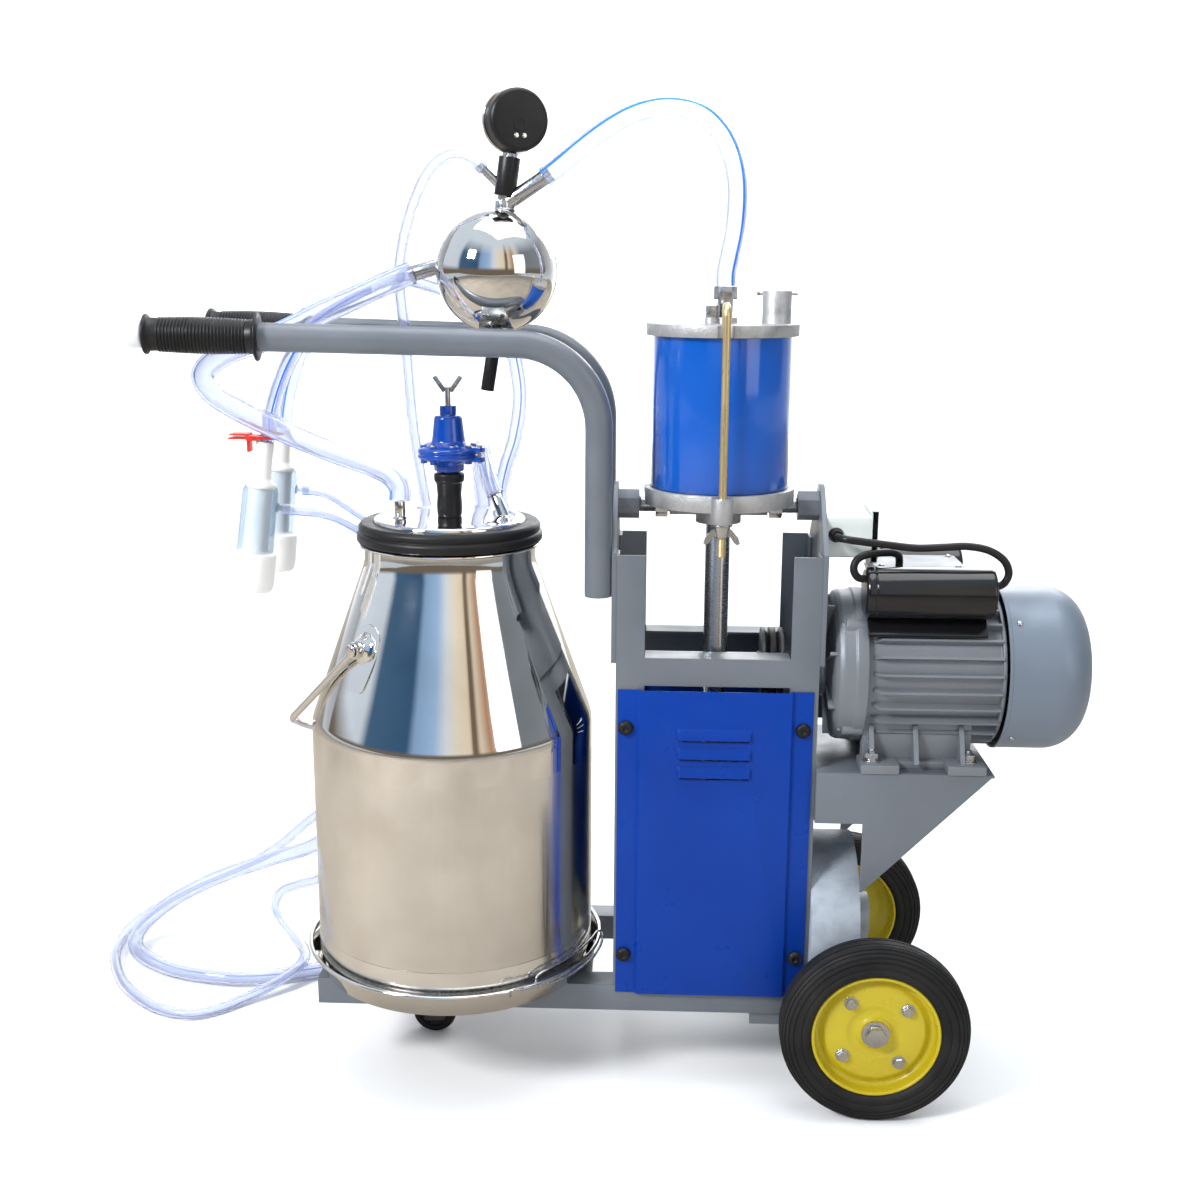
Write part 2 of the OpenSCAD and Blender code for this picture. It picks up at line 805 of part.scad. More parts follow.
module hook_bolt() {
    bend = 10;
    bottom = 600;
    rise = 838;
    translate([0, hook_y, bottom]) cylinder(r = hook_r, h = rise - bottom);
    translate([0, hook_y + bend, rise]) rotate([90, 0, -90])
        rotate_extrude(angle = 180) translate([bend, 0]) circle(r = hook_r, $fn = 24);
    translate([0, hook_y + 2 * bend, top_cover_top])
        cylinder(r = hook_r, h = rise - top_cover_top);
    translate([0, hook_y, 622]) cylinder(r = 9, h = 12);
    for (side = [0, 1]) mirror([side, 0, 0])
        translate([6, hook_y - 2, 612]) rotate([0, 25, 0]) cube([6, 4, 18]);
}

module hook_bolts() {
    color("goldenrod") at_pump() for (side = [0, 1]) mirror([0, side, 0]) hook_bolt();
}

module pump_fittings() {
    color("silver") at_pump() {
        translate([2, 0, top_cover_top + 6]) difference() {
            union() {
                cylinder(r = 8, h = 18);
                translate([0, 0, 18]) hex_bar(21, 13);
            }
            translate([0, 0, -1]) cylinder(r = 4.5, h = 40);
        }
        translate([34, 0, top_cover_top + 30]) x_rod(1.5, 42);
        translate([34, -1.5, top_cover_top + 28]) cube([3, 3, 4]);
        translate([-12, -10, top_cover_top + 6]) hex_bar(11, 12);
    }
}

module trunnion_pins() {
    color("silver") at_pump() for (side = [0, 1]) mirror([side, 0, 0]) {
        translate([pump_x - bush_left_x, 0, trunnion_z])
            x_rod(trunnion_r, bush_left_x + 4.5);
        translate([pump_x - bush_left_x + 2, 0, trunnion_z])
            rotate([0, 90, 0]) hex_bar(24, 13);
    }
}

// Upright plate with a rounded top that carries a trunnion; faces +X
module pivot_plate() {
    plate_t = 5;
    shoulder = 600;
    cap_r = 24;
    slope_z = 656;
    boss_l = 22;
    difference() {
        union() {
            rotate([90, 0, 90]) linear_extrude(height = plate_t) union() {
                polygon([
                    [-tower_d / 2, 484], [tower_d / 2, 484], [tower_d / 2, shoulder],
                    [cap_r * 0.75, slope_z], [-cap_r * 0.75, slope_z],
                    [-tower_d / 2, shoulder]
                ]);
                translate([0, trunnion_z]) circle(r = cap_r);
            }
            translate([plate_t, 0, trunnion_z]) rotate([0, 90, 0]) hex_bar(27, boss_l);
        }
        translate([-1, 0, trunnion_z]) x_rod(trunnion_r + run, plate_t + boss_l + 2);
    }
}

module pivot_plates() {
    color("silver") at_tower() {
        translate([-5, 0, 0]) pivot_plate();
        translate([tower_w + 5, 0, 0]) mirror([1, 0, 0]) pivot_plate();
    }
}

module piston() {
    color("dimgray") at_pump() translate([0, 0, piston_z]) difference() {
        cylinder(r = cylinder_r - cylinder_wall - run, h = piston_h, $fn = 96);
        for (z = [8, 28])
            translate([0, 0, z]) difference() {
                cylinder(r = cylinder_r, h = 4);
                translate([0, 0, -1]) cylinder(r = cylinder_r - cylinder_wall - 1.5, h = 6);
            }
    }
}

module piston_rod() {
    eye_x0 = -10.7;
    eye_w = 22;
    color("silver") at_pump() {
        translate([0, 0, big_end_z]) cylinder(r = rod_r, h = piston_z - big_end_z);
        translate([eye_x0, 0, big_end_z]) x_rod(17, eye_w);
        translate([eye_x0 + eye_w, 0, big_end_z]) x_rod(8, 122 - 0.5 - pump_x - eye_x0 - eye_w);
    }
}

module crank() {
    web_x = 122;
    web_w = 12;
    color("gray") at_tower() translate([web_x, 0, crank_z]) {
        x_rod(crank_r + 15, web_w);
        translate([web_w, 0, 0]) x_rod(shaft_r, 278 - web_x - web_w);
    }
}

// Grooved pulley along +X
module pulley(r, w, bore) {
    groove = 8;
    rotate([0, 90, 0]) rotate_extrude() polygon([
        [bore, 0], [r, 0], [r, 3], [r - groove, 8], [r - groove, w - 8],
        [r, w - 3], [r, w], [bore, w]
    ]);
}

module driven_pulley() {
    color("gray") at_tower() translate([pulley_x, 0, crank_z])
        pulley(driven_pulley_r, pulley_w, shaft_r);
}

// Outline that a belt follows round two pulleys, seen along the shafts
module belt_outline(small, large) {
    drop = motor_z - crank_z;
    lean = asin((large - small) / drop);
    circle(r = large);
    translate([0, drop]) circle(r = small);
    polygon([
        [-large * cos(lean), large * sin(lean)], [large * cos(lean), large * sin(lean)],
        [small * cos(lean), drop + small * sin(lean)],
        [-small * cos(lean), drop + small * sin(lean)]
    ]);
}

module drive_belt() {
    inner_small = motor_pulley_r - 8 + gap;
    inner_large = driven_pulley_r - 8 + gap;
    belt_t = 8;
    w = 6.4;
    color("black") at_tower()
        translate([pulley_x + (pulley_w - w) / 2, 0, crank_z])
            rotate([90, 0, 90]) linear_extrude(height = w) difference() {
                belt_outline(inner_small + belt_t, inner_large + belt_t);
                belt_outline(inner_small, inner_large);
            }
}

// ---------------------------------------------------------------- motor

module at_motor() {
    at_tower() translate([0, 0, motor_z]) children();
}

module motor_rotor() {
    color("gray") at_motor() {
        translate([pulley_x, 0, 0]) pulley(motor_pulley_r, pulley_w, 0);
        translate([pulley_x - 4, 0, 0]) x_rod(rotor_shaft_r, 289);
        translate([285, 0, 0]) x_rod(46, 95);
        translate([416, 0, 0]) {
            x_rod(22, 14);
            for (a = [0 : 45 : 315]) rotate([a, 0, 0])
                translate([1, -1.5, 18]) cube([12, 3, 44]);
        }
    }
}

module motor_body() {
    shield_x = 218;
    core_x = 262;
    back_x = 402;
    fins = 28;
    color("silver") at_motor() difference() {
        union() {
            translate([core_x, 0, 0]) x_rod(74, back_x - core_x);
            translate([shield_x, 0, 0]) rotate([0, 90, 0]) rotate_extrude() polygon([
                [0, 0], [34, 0], [36, 4], [74, 10], [81, 16], [82, 40], [82, 44], [0, 44]
            ]);
            for (i = [0 : fins - 1]) rotate([i * 360 / fins + 6, 0, 0])
                translate([core_x + 2, -1.5, 70])
                    cube([back_x - core_x - 4, 3, fin_r - 70]);
            for (side = [-1, 1]) motor_foot(side);
            translate([268, -36, 70]) cube([96, 72, 44]);
        }
        translate([core_x - 14, 0, 0]) x_rod(48, 150);
        translate([shield_x - 1, 0, 0]) x_rod(rotor_shaft_r + run, 200);
        for (x = foot_x, side = [-1, 1])
            translate([x, side * foot_y, shelf_z - motor_z - 1])
                cylinder(r = 4.5, h = 12);
    }
}

// Cast foot: a flat pad and the web that joins it to the stator
module motor_foot(side) {
    x0 = 256;
    l = 130;
    pad_z = shelf_z - motor_z;
    y = side > 0 ? 56 : -86;
    translate([x0, y, pad_z]) cube([l, 30, 10]);
    translate([x0 + 4, side > 0 ? 46 : -58, pad_z]) cube([l - 16, 12, 56]);
}

module motor_fan_cover() {
    x0 = 403;
    l = 93;
    round_r = 42;
    wall = 2;
    color("silver") at_motor() translate([x0, 0, 0]) rotate([0, 90, 0])
        rotate_extrude($fn = 96) difference() {
            fan_outline(fan_cover_r, l, round_r);
            translate([0, -1]) fan_outline(fan_cover_r - wall, l - wall + 1, round_r - wall);
        }
}

// Half section of a cap: radius along X, axis along Y, with a rounded end
module fan_outline(r, l, corner) {
    square([r, l - corner]);
    square([r - corner, l]);
    translate([r - corner, l - corner]) intersection() {
        circle(r = corner, $fn = 96);
        square(corner);
    }
}

module capacitor(x, y, l) {
    cap_r = 26.5;
    cap_z = 561;
    translate([x, y, cap_z]) rotate([0, 90, 0]) rotate_extrude() polygon([
        [0, 0], [cap_r - 4, 0], [cap_r, 4], [cap_r, l - 4], [cap_r - 4, l], [0, l]
    ]);
    translate([x + 5, 0, motor_z]) rotate([y < 0 ? 42 : -42, 0, 0])
        translate([0, -22, fin_r]) cube([l - 10, 44, 5]);
}

module capacitors() {
    color("black") at_tower() {
        capacitor(254, -63, 132);
        capacitor(286, 63, 90);
    }
}

module switch_box() {
    box_x = tower_w + 5;
    color("white") at_tower() difference() {
        union() {
            translate([box_x, -40, 592]) cube([46, 55, 44]);
            translate([box_x + 46, -44, 588]) cube([7, 63, 54]);
            translate([226, -40, 616]) rotate([90, 0, 0]) cylinder(r = 7, h = 8);
        }
        translate([box_x - 1, -37, 595]) cube([45, 49, 38]);
        translate([box_x + 40, -24, 602]) cube([15, 19, 27]);
        translate([box_x + 48, -26, 615.5]) y_rod(1.5 + run, 23);
    }
}

module rocker() {
    color("red") at_tower() translate([tower_w + 5 + 46, -23.5, 602.5]) {
        rotate([90, 0, 0]) translate([0, 0, -18]) linear_extrude(height = 18) polygon([
            [0, 1], [7, 1], [11, 3], [8, 13], [9.5, 23], [7, 25], [0, 25]
        ]);
        translate([2, -2, 13]) y_rod(1.5, 22);
    }
}

module motor_cable() {
    color("black") at_tower() {
        sweep(smooth(cable_route, 2), cable_r, hose_sides);
        sweep(smooth(lead_route, 2), cable_r, hose_sides);
    }
}

module reducer_drum() {
    wall = 5;
    hub_r = 24;
    color("lightgray") at_tower() translate([drum_x, 0, crank_z]) difference() {
        union() {
            x_rod(drum_r, drum_w);
            translate([-24, 0, 0]) x_rod(hub_r, 24);
            translate([drum_w, 0, 0]) x_rod(hub_r + 2, 20);
        }
        difference() {
            translate([wall, 0, 0]) x_rod(drum_r - wall, drum_w - 2 * wall);
            x_rod(hub_r, drum_w);
        }
        translate([-25, 0, 0]) x_rod(shaft_r + run, 25 + drum_w + 16);
    }
}

// ---------------------------------------------------------------- bucket

module at_bucket() {
    at_tower() translate([bucket_x, 0, 0]) children();
}

// Children are turned so that +X runs along the ears' axis
module ear_turned() {
    translate([0, 0, ear_z]) rotate(ear_turn) children();
}

function wall_r(z) = neck_r + (bucket_r - neck_r) * (neck_z - z) / (neck_z - shoulder_z);

module bucket() {
    w = bucket_wall;
    foot_r = bucket_r - 8;
    color("gainsboro") at_bucket() {
        rotate_extrude($fn = 128) polygon([
            [0, bucket_z + 4], [foot_r - 14, bucket_z + 4], [foot_r - 8, bucket_z],
            [foot_r, bucket_z], [bucket_r, bucket_z + 16], [bucket_r, shoulder_z],
            [neck_r, neck_z], [neck_r, bucket_top - 3], [neck_r + 6, bucket_top - 3],
            [neck_r + 6, bucket_top], [neck_r - w, bucket_top], [neck_r - w, neck_z],
            [bucket_r - w, shoulder_z - 0.5], [bucket_r - w, bucket_z + 17],
            [foot_r - 1, bucket_z + 4 + w], [0, bucket_z + 4 + w]
        ]);
        ear_turned() for (side = [0, 1]) mirror([side, 0, 0]) ear();
    }
}

// Pad and eye of one bail ear
module ear() {
    pad_x = wall_r(ear_z) - 3;
    difference() {
        translate([pad_x, 0, 0]) rotate([0, 70, 0]) cylinder(r = 16, h = 5);
        translate([0, 0, -ear_z]) rotate_extrude($fn = 128) polygon([
            [0, shoulder_z], [bucket_r - bucket_wall / 2, shoulder_z],
            [neck_r - bucket_wall / 2, neck_z], [0, neck_z]
        ]);
    }
    translate([pad_x + 3, 0, 0]) x_rod(bail_r - run, eye_x + 5.5 - pad_x - 3);
    translate([eye_x + 5.5, 0, 0]) x_rod(7, 3);
}

// Bail in its own plane: it hangs from the ears and runs out along +Y
module bail() {
    arm = 145;
    eye_w = 9;
    bend_r = 20;
    turn = 50;
    grip_half = 60;
    grip_y = 213.5;
    half = concat(
        [[eye_x, 6, 0], [eye_x, arm / 2, 0], [eye_x, arm, 0]],
        [for (a = [10 : 10 : turn])
            [eye_x - bend_r + bend_r * cos(a), arm + bend_r * sin(a), 0]],
        [[grip_half, grip_y, 0]]
    );
    wire = concat(half, [for (i = [len(half) - 1 : -1 : 0]) [-half[i][0], half[i][1], 0]]);
    color("silver") at_bucket() ear_turned() rotate([-bail_drop, 0, 0]) {
        sweep(wire, bail_r, 12);
        for (side = [-1, 1]) difference() {
            translate([side * eye_x - eye_w / 2, 0, 0]) x_rod(9, eye_w);
            translate([side * eye_x - eye_w, 0, 0]) x_rod(bail_r, 2 * eye_w);
        }
        translate([-grip_half - 3, grip_y, 0]) x_rod(bail_r + 3, 2 * grip_half + 6);
    }
}

module tray() {
    rim_out = 165;
    rim_z = 149;
    floor_z = rail_top;
    color("gainsboro") at_bucket() {
        rotate_extrude($fn = 128) polygon([
            [0, floor_z + 2], [0, floor_z], [150, floor_z], [rim_out - 2, rim_z - 5],
            [rim_out, rim_z - 4], [rim_out, rim_z], [rim_out - 4, rim_z],
            [rim_out - 4, rim_z - 4], [149, floor_z + 2]
        ]);
        rotate_extrude($fn = 128) polygon([
            [100, floor_z + 2], [104, floor_z + 2], [104, bucket_z + 4], [100, bucket_z + 4]
        ]);
    }
}

lid_z = 601;
lid_top = 624;

module lid() {
    lid_r = 81;
    color("gainsboro") at_bucket() difference() {
        union() {
            rotate_extrude($fn = 96) polygon([
                [0, lid_top - 2], [0, lid_top], [lid_r - 4, lid_top], [lid_r, lid_top - 4],
                [lid_r, lid_z], [lid_r - 2, lid_z], [lid_r - 2, lid_top - 4],
                [lid_r - 4, lid_top - 2]
            ]);
            rod_between([-51, -12, lid_top - 2], [-51.3, -12, 642], 6);
            rod_between([58, 8, lid_top - 3], [46.7, 19, 645], 6);
        }
        rod_between([-51, -12, lid_top - 5], [-51.3, -12, 650], 4);
        rod_between([58.5, 7.6, lid_top - 4], [46, 19.8, 646], 4);
        translate([0, 0, lid_top - 5]) cylinder(r = 6, h = 10);
    }
}

module lid_gasket() {
    color("black") at_bucket() rotate_extrude($fn = 96) polygon([
        [81, lid_z - 2], [97, lid_z - 2], [99, lid_z], [99, lid_z + 8], [97, lid_z + 10],
        [97, lid_z + 16], [94, lid_z + 19], [81, lid_z + 19]
    ]);
}

module regulator() {
    color("royalblue") at_bucket() difference() {
        translate([0, 0, lid_top]) rotate_extrude() polygon([
            [0, 0], [13.5, 0], [13.5, 47], [13, 47], [13, 60], [32, 62], [32, 78],
            [16, 80], [15, 106], [7, 108], [7, 118], [0, 118]
        ]);
        translate([0, 0, lid_top + 100]) cylinder(r = 3 + run, h = 40);
    }
}

module wing_screw() {
    color("silver") at_bucket() {
        translate([0, 0, lid_top + 101]) cylinder(r = 3, h = 36);
        for (side = [0, 1]) mirror([side, 0, 0])
            translate([1, -1.5, lid_top + 134]) rotate([0, 35, 0]) cube([5, 3, 19]);
    }
}

// ---------------------------------------------------------------- cups

// Children run along a cup's centreline, from its top downwards
module each_cup() {
    for (i = [0, 1]) from_to(cup_tops[i], cup_feet[i]) children();
}

module cup_shells() {
    color("ghostwhite") at_tower() each_cup() {
        difference() {
            union() {
                translate([0, 0, 48]) cylinder(r1 = 16, r2 = 19, h = 8);
                translate([0, 0, 56]) cylinder(r = 19, h = 62);
            }
            translate([0, 0, 47]) cylinder(r = 13.5, h = 80);
        }
        difference() {
            rod_between([15, 0, 68], [33, 0, 68], 3.5);
            rod_between([12, 0, 68], [34, 0, 68], 2);
        }
    }
}

module cup_liners() {
    color("white") at_tower() each_cup() difference() {
        rotate_extrude() polygon([
            [0, 0], [9.5, 0], [9.5, 40], [15, 42], [15, 48], [12.5, 48], [12.5, 118],
            [20, 118], [22.5, 122], [22.5, 152], [20.5, cup_l], [0, cup_l]
        ]);
        translate([0, 0, 70]) cylinder(r = 11, h = cup_l);
        translate([0, 0, -1]) cylinder(r = 6, h = cup_l);
    }
}

// Sliding pinch clip: the tube stands in its round hole, beside a narrow slot
module shut_off_clip() {
    clip_t = 6;
    color("red") at_tower() translate([-367.5, -19.6, 707]) difference() {
        translate([-40, -12, 0]) cube([53, 24, clip_t]);
        translate([0, 0, -1]) cylinder(r = milk_tube_r + 1, h = clip_t + 2);
        translate([-28, -2.5, -1]) cube([28, 5, clip_t + 2]);
    }
}

module y_piece() {
    fork = [-252, 32, 870];
    color("white") at_tower() {
        rod_between([-234.5, 33.7, 873], fork, milk_hose_r);
        translate(fork) sphere(r = milk_hose_r + 1.5);
        rod_between(fork, [-264, 24, 862], milk_tube_r);
        rod_between(fork, [-266, 41, 862], milk_tube_r);
    }
}

module t_piece() {
    color("white") at_tower() {
        rod_between([-258, 126, 578], [-258, 98, 578], pulse_hose_r);
        rod_between([-258, 112, 578], [-272, 106, 592], pulse_tube_r);
    }
}

// ---------------------------------------------------------------- hoses

module hose(route, r, steps) {
    at_tower() sweep(smooth(route, steps), r, hose_sides);
}

module pump_hose() {
    color("aliceblue") hose(pump_route, vacuum_hose_r, 1);
}

module bucket_hose() {
    color("aliceblue") hose(bucket_route, vacuum_hose_r, 1);
}

module milk_hose() {
    color("aliceblue") hose(milk_route, milk_hose_r, 1);
}

module pulse_hose() {
    color("aliceblue") hose(pulse_route, pulse_hose_r, 1);
}

module near_milk_tube() {
    color("aliceblue") hose(near_milk_route, milk_tube_r, 1);
}

module far_milk_tube() {
    color("aliceblue") hose(far_milk_route, milk_tube_r, 1);
}

module near_pulse_tube() {
    color("aliceblue") hose(near_pulse_route, pulse_tube_r, 1);
}

module far_pulse_tube() {
    color("aliceblue") hose(far_pulse_route, pulse_tube_r, 1);
}

base_frame();
tower_frame();
motor_bracket();
front_panel();
rear_panel();
frame_fasteners();
axle();
near_rim();
near_tyre();
far_rim();
far_tyre();
caster_fork();
caster_wheel();
near_handle();
far_handle();
handle_grips();
vacuum_tank();
tank_sleeves();
gauge_case();
gauge_needle();
pump_cylinder();
pump_top_cover();
pump_bottom_cover();
hook_bolts();
pump_fittings();
trunnion_pins();
pivot_plates();
piston();
piston_rod();
crank();
driven_pulley();
drive_belt();
motor_rotor();
motor_body();
motor_fan_cover();
capacitors();
switch_box();
rocker();
motor_cable();
reducer_drum();
bucket();
bail();
tray();
lid();
lid_gasket();
regulator();
wing_screw();
cup_shells();
cup_liners();
shut_off_clip();
y_piece();
t_piece();
pump_hose();
bucket_hose();
milk_hose();
pulse_hose();
near_milk_tube();
far_milk_tube();
near_pulse_tube();
far_pulse_tube();
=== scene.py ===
"""Looks of the portable milking machine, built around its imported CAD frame. Metres, +Z up."""
import math

import bmesh
import bpy
from mathutils import Matrix, Vector


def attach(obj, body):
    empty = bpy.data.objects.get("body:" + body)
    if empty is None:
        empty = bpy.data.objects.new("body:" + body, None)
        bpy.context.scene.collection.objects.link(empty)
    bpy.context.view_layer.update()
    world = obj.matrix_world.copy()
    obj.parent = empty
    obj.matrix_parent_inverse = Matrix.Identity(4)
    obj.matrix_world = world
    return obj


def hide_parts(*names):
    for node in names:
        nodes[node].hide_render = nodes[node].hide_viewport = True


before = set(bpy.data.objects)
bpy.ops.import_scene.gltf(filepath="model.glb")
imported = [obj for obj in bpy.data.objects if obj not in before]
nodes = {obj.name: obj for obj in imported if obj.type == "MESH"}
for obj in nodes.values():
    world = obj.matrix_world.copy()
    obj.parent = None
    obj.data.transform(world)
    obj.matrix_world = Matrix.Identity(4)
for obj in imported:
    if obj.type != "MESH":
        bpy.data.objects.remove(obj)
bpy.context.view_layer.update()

# The tower's left face and middle plane, from the frame's origin
TOWER = Vector((-0.006, -0.0185, 0))
# Places along the tower's X, as in the part's source
BUCKET_X = -0.1807
PUMP_X = 0.1057
AXLE_X = 0.278
TANK_AT = (-0.128, 0, 0.880)
GAUGE_AT = (-0.107, 0, 1.028)
MOTOR_Z = 0.468

# ------------------------------------------------------------------ camera

CAMERA_AT = Vector((0.03064, -1.54622, 0.88138))
CAMERA_YAW = math.radians(2.10)
CAMERA_PITCH = math.radians(12.79)
CAMERA_ROLL = math.radians(-0.36)
CAMERA_LENS_MM = 43.57


def make_camera():
    sy, cy = math.sin(CAMERA_YAW), math.cos(CAMERA_YAW)
    sp, cp = math.sin(CAMERA_PITCH), math.cos(CAMERA_PITCH)
    sr, cr = math.sin(CAMERA_ROLL), math.cos(CAMERA_ROLL)
    ahead = Vector((-sy * cp, cy * cp, -sp))
    level = Vector((cy, sy, 0))
    below = ahead.cross(level)
    right = cr * level + sr * below
    down = -sr * level + cr * below
    data = bpy.data.cameras.new("camera")
    data.lens = CAMERA_LENS_MM
    data.sensor_width = 36
    data.clip_start = 0.05
    camera = bpy.data.objects.new("camera", data)
    camera.matrix_world = Matrix.Translation(CAMERA_AT) @ Matrix((right, -down, -ahead)).transposed().to_4x4()
    bpy.context.scene.collection.objects.link(camera)
    bpy.context.scene.camera = camera


make_camera()

# ------------------------------------------------------------------ materials


class Shader:
    """A material's node tree, with short calls for what the materials below need."""

    def __init__(self, name, color, metallic=0.0, roughness=0.4, **fixed):
        self.material = bpy.data.materials.new(name)
        self.material.use_nodes = True
        self.tree = self.material.node_tree
        self.bsdf = self.tree.nodes["Principled BSDF"]
        self.color = (*color, 1)
        self.set(self.bsdf, "Base Color", self.color)
        self.set(self.bsdf, "Metallic", metallic)
        self.set(self.bsdf, "Roughness", roughness)
        for socket, value in fixed.items():
            self.set(self.bsdf, socket.replace("_", " "), value)
        self.coords = self.tree.nodes.new("ShaderNodeTexCoord")

    def set(self, node, socket, value):
        node.inputs[socket].default_value = value

    def link(self, out, node, socket):
        self.tree.links.new(out, node.inputs[socket])

    def mapped(self, scale=(1, 1, 1), turn=(0, 0, 0)):
        node = self.tree.nodes.new("ShaderNodeMapping")
        self.set(node, "Scale", scale)
        self.set(node, "Rotation", turn)
        self.link(self.coords.outputs["Object"], node, "Vector")
        return node.outputs["Vector"]

    def noise(self, scale, detail=3.0, stretch=(1, 1, 1), turn=(0, 0, 0)):
        node = self.tree.nodes.new("ShaderNodeTexNoise")
        self.set(node, "Scale", scale)
        self.set(node, "Detail", detail)
        self.link(self.mapped(stretch, turn), node, "Vector")
        return node.outputs["Fac"]

    def ranged(self, value, low, high, start=0.3, end=0.7):
        node = self.tree.nodes.new("ShaderNodeMapRange")
        self.set(node, "From Min", start)
        self.set(node, "From Max", end)
        self.set(node, "To Min", low)
        self.set(node, "To Max", high)
        self.link(value, node, "Value")
        return node.outputs["Result"]

    def shade(self, mask, color, low=0.3, high=0.7):
        """Mixes the base colour with another where the mask is high."""
        ramp = self.tree.nodes.new("ShaderNodeValToRGB")
        ramp.color_ramp.elements[0].position = low
        ramp.color_ramp.elements[0].color = self.color
        ramp.color_ramp.elements[1].position = high
        ramp.color_ramp.elements[1].color = (*color, 1)
        self.link(mask, ramp, "Fac")
        self.link(ramp.outputs["Color"], self.bsdf, "Base Color")

    def rough(self, mask, low, high, start=0.3, end=0.7):
        self.link(self.ranged(mask, low, high, start, end), self.bsdf, "Roughness")

    def bump(self, height, distance, strength=1.0):
        node = self.tree.nodes.new("ShaderNodeBump")
        self.set(node, "Strength", strength)
        self.set(node, "Distance", distance)
        self.link(height, node, "Height")
        before = self.bsdf.inputs["Normal"]
        if before.is_linked:
            self.link(before.links[0].from_socket, node, "Normal")
        self.link(node.outputs["Normal"], self.bsdf, "Normal")


def painted(name, color, worn, roughness=(0.28, 0.42), metallic=0.0, peel=0.00012, **fixed):
    """Sprayed paint: orange peel, faint patches and dust."""
    s = Shader(name, color, metallic, roughness[0], **fixed)
    s.shade(s.noise(9, 5), worn, 0.35, 0.8)
    s.rough(s.noise(35, 4), *roughness)
    s.bump(s.noise(900, 2), peel)
    return s.material


def cast(name, color, dark, grain=0.0004, metallic=0.7, roughness=(0.38, 0.6)):
    """Cast metal: pitted skin with darker hollows."""
    s = Shader(name, color, metallic, roughness[0])
    s.shade(s.noise(60, 6), dark, 0.45, 0.75)
    s.rough(s.noise(120, 3), *roughness)
    s.bump(s.noise(420, 5), grain)
    return s.material


def turned(name, color, dark, roughness=(0.16, 0.32), lines=(1, 1, 1), metallic=1.0, scratch=0.00003):
    """Machined or drawn metal with fine lines along one direction."""
    s = Shader(name, color, metallic, roughness[0])
    s.shade(s.noise(14, 4), dark, 0.4, 0.85)
    fine = s.noise(260, 3, lines)
    s.rough(fine, *roughness)
    s.bump(fine, scratch)
    return s.material


def moulded(name, color, worn, roughness=(0.35, 0.5), grain=0.00008, **fixed):
    """Moulded plastic or rubber with a fine spark-eroded grain."""
    s = Shader(name, color, 0.0, roughness[0], **fixed)
    s.shade(s.noise(18, 4), worn, 0.4, 0.8)
    s.rough(s.noise(50, 4), *roughness)
    s.bump(s.noise(1400, 2), grain)
    return s.material


def clear(name, color, roughness, transmission, ior=1.35, haze=0.00006, cloud=(0.86, 0.88, 0.92)):
    """Soft clear plastic with slight haze and ripples."""
    s = Shader(name, color, 0.0, roughness, IOR=ior, Transmission_Weight=transmission)
    s.shade(s.noise(25, 3), cloud, 0.4, 0.8)
    s.rough(s.noise(70, 3), roughness, roughness + 0.06)
    s.bump(s.noise(160, 2), haze)
    return s.material


def brushed_bucket():
    """Polished cone above a brushed body, whose fine lines run upright."""
    s = Shader("bucket_steel", (0.80, 0.79, 0.77), 1.0, 0.1)
    split = s.tree.nodes.new("ShaderNodeSeparateXYZ")
    s.link(s.coords.outputs["Object"], split, "Vector")
    body = s.ranged(split.outputs["Z"], 1.0, 0.0, SHOULDER_Z - 0.035, SHOULDER_Z - 0.034)
    streak = s.noise(420, 3, (1.0, 1.0, 0.03))
    lines = s.ranged(streak, 0.14, 0.26)
    patch = s.ranged(s.noise(10, 4), 0.03, 0.085)
    mix = s.tree.nodes.new("ShaderNodeMix")
    s.link(body, mix, "Factor")
    s.link(patch, mix, "A")
    s.link(lines, mix, "B")
    s.link(mix.outputs["Result"], s.bsdf, "Roughness")
    s.shade(s.noise(16, 5), (0.66, 0.64, 0.61), 0.4, 0.85)
    height = s.tree.nodes.new("ShaderNodeMath")
    height.operation = "MULTIPLY"
    s.tree.links.new(body, height.inputs[0])
    s.tree.links.new(streak, height.inputs[1])
    s.bump(height.outputs["Value"], 0.00005)
    s.bump(s.noise(12, 1), 0.0006, 0.4)
    return s.material


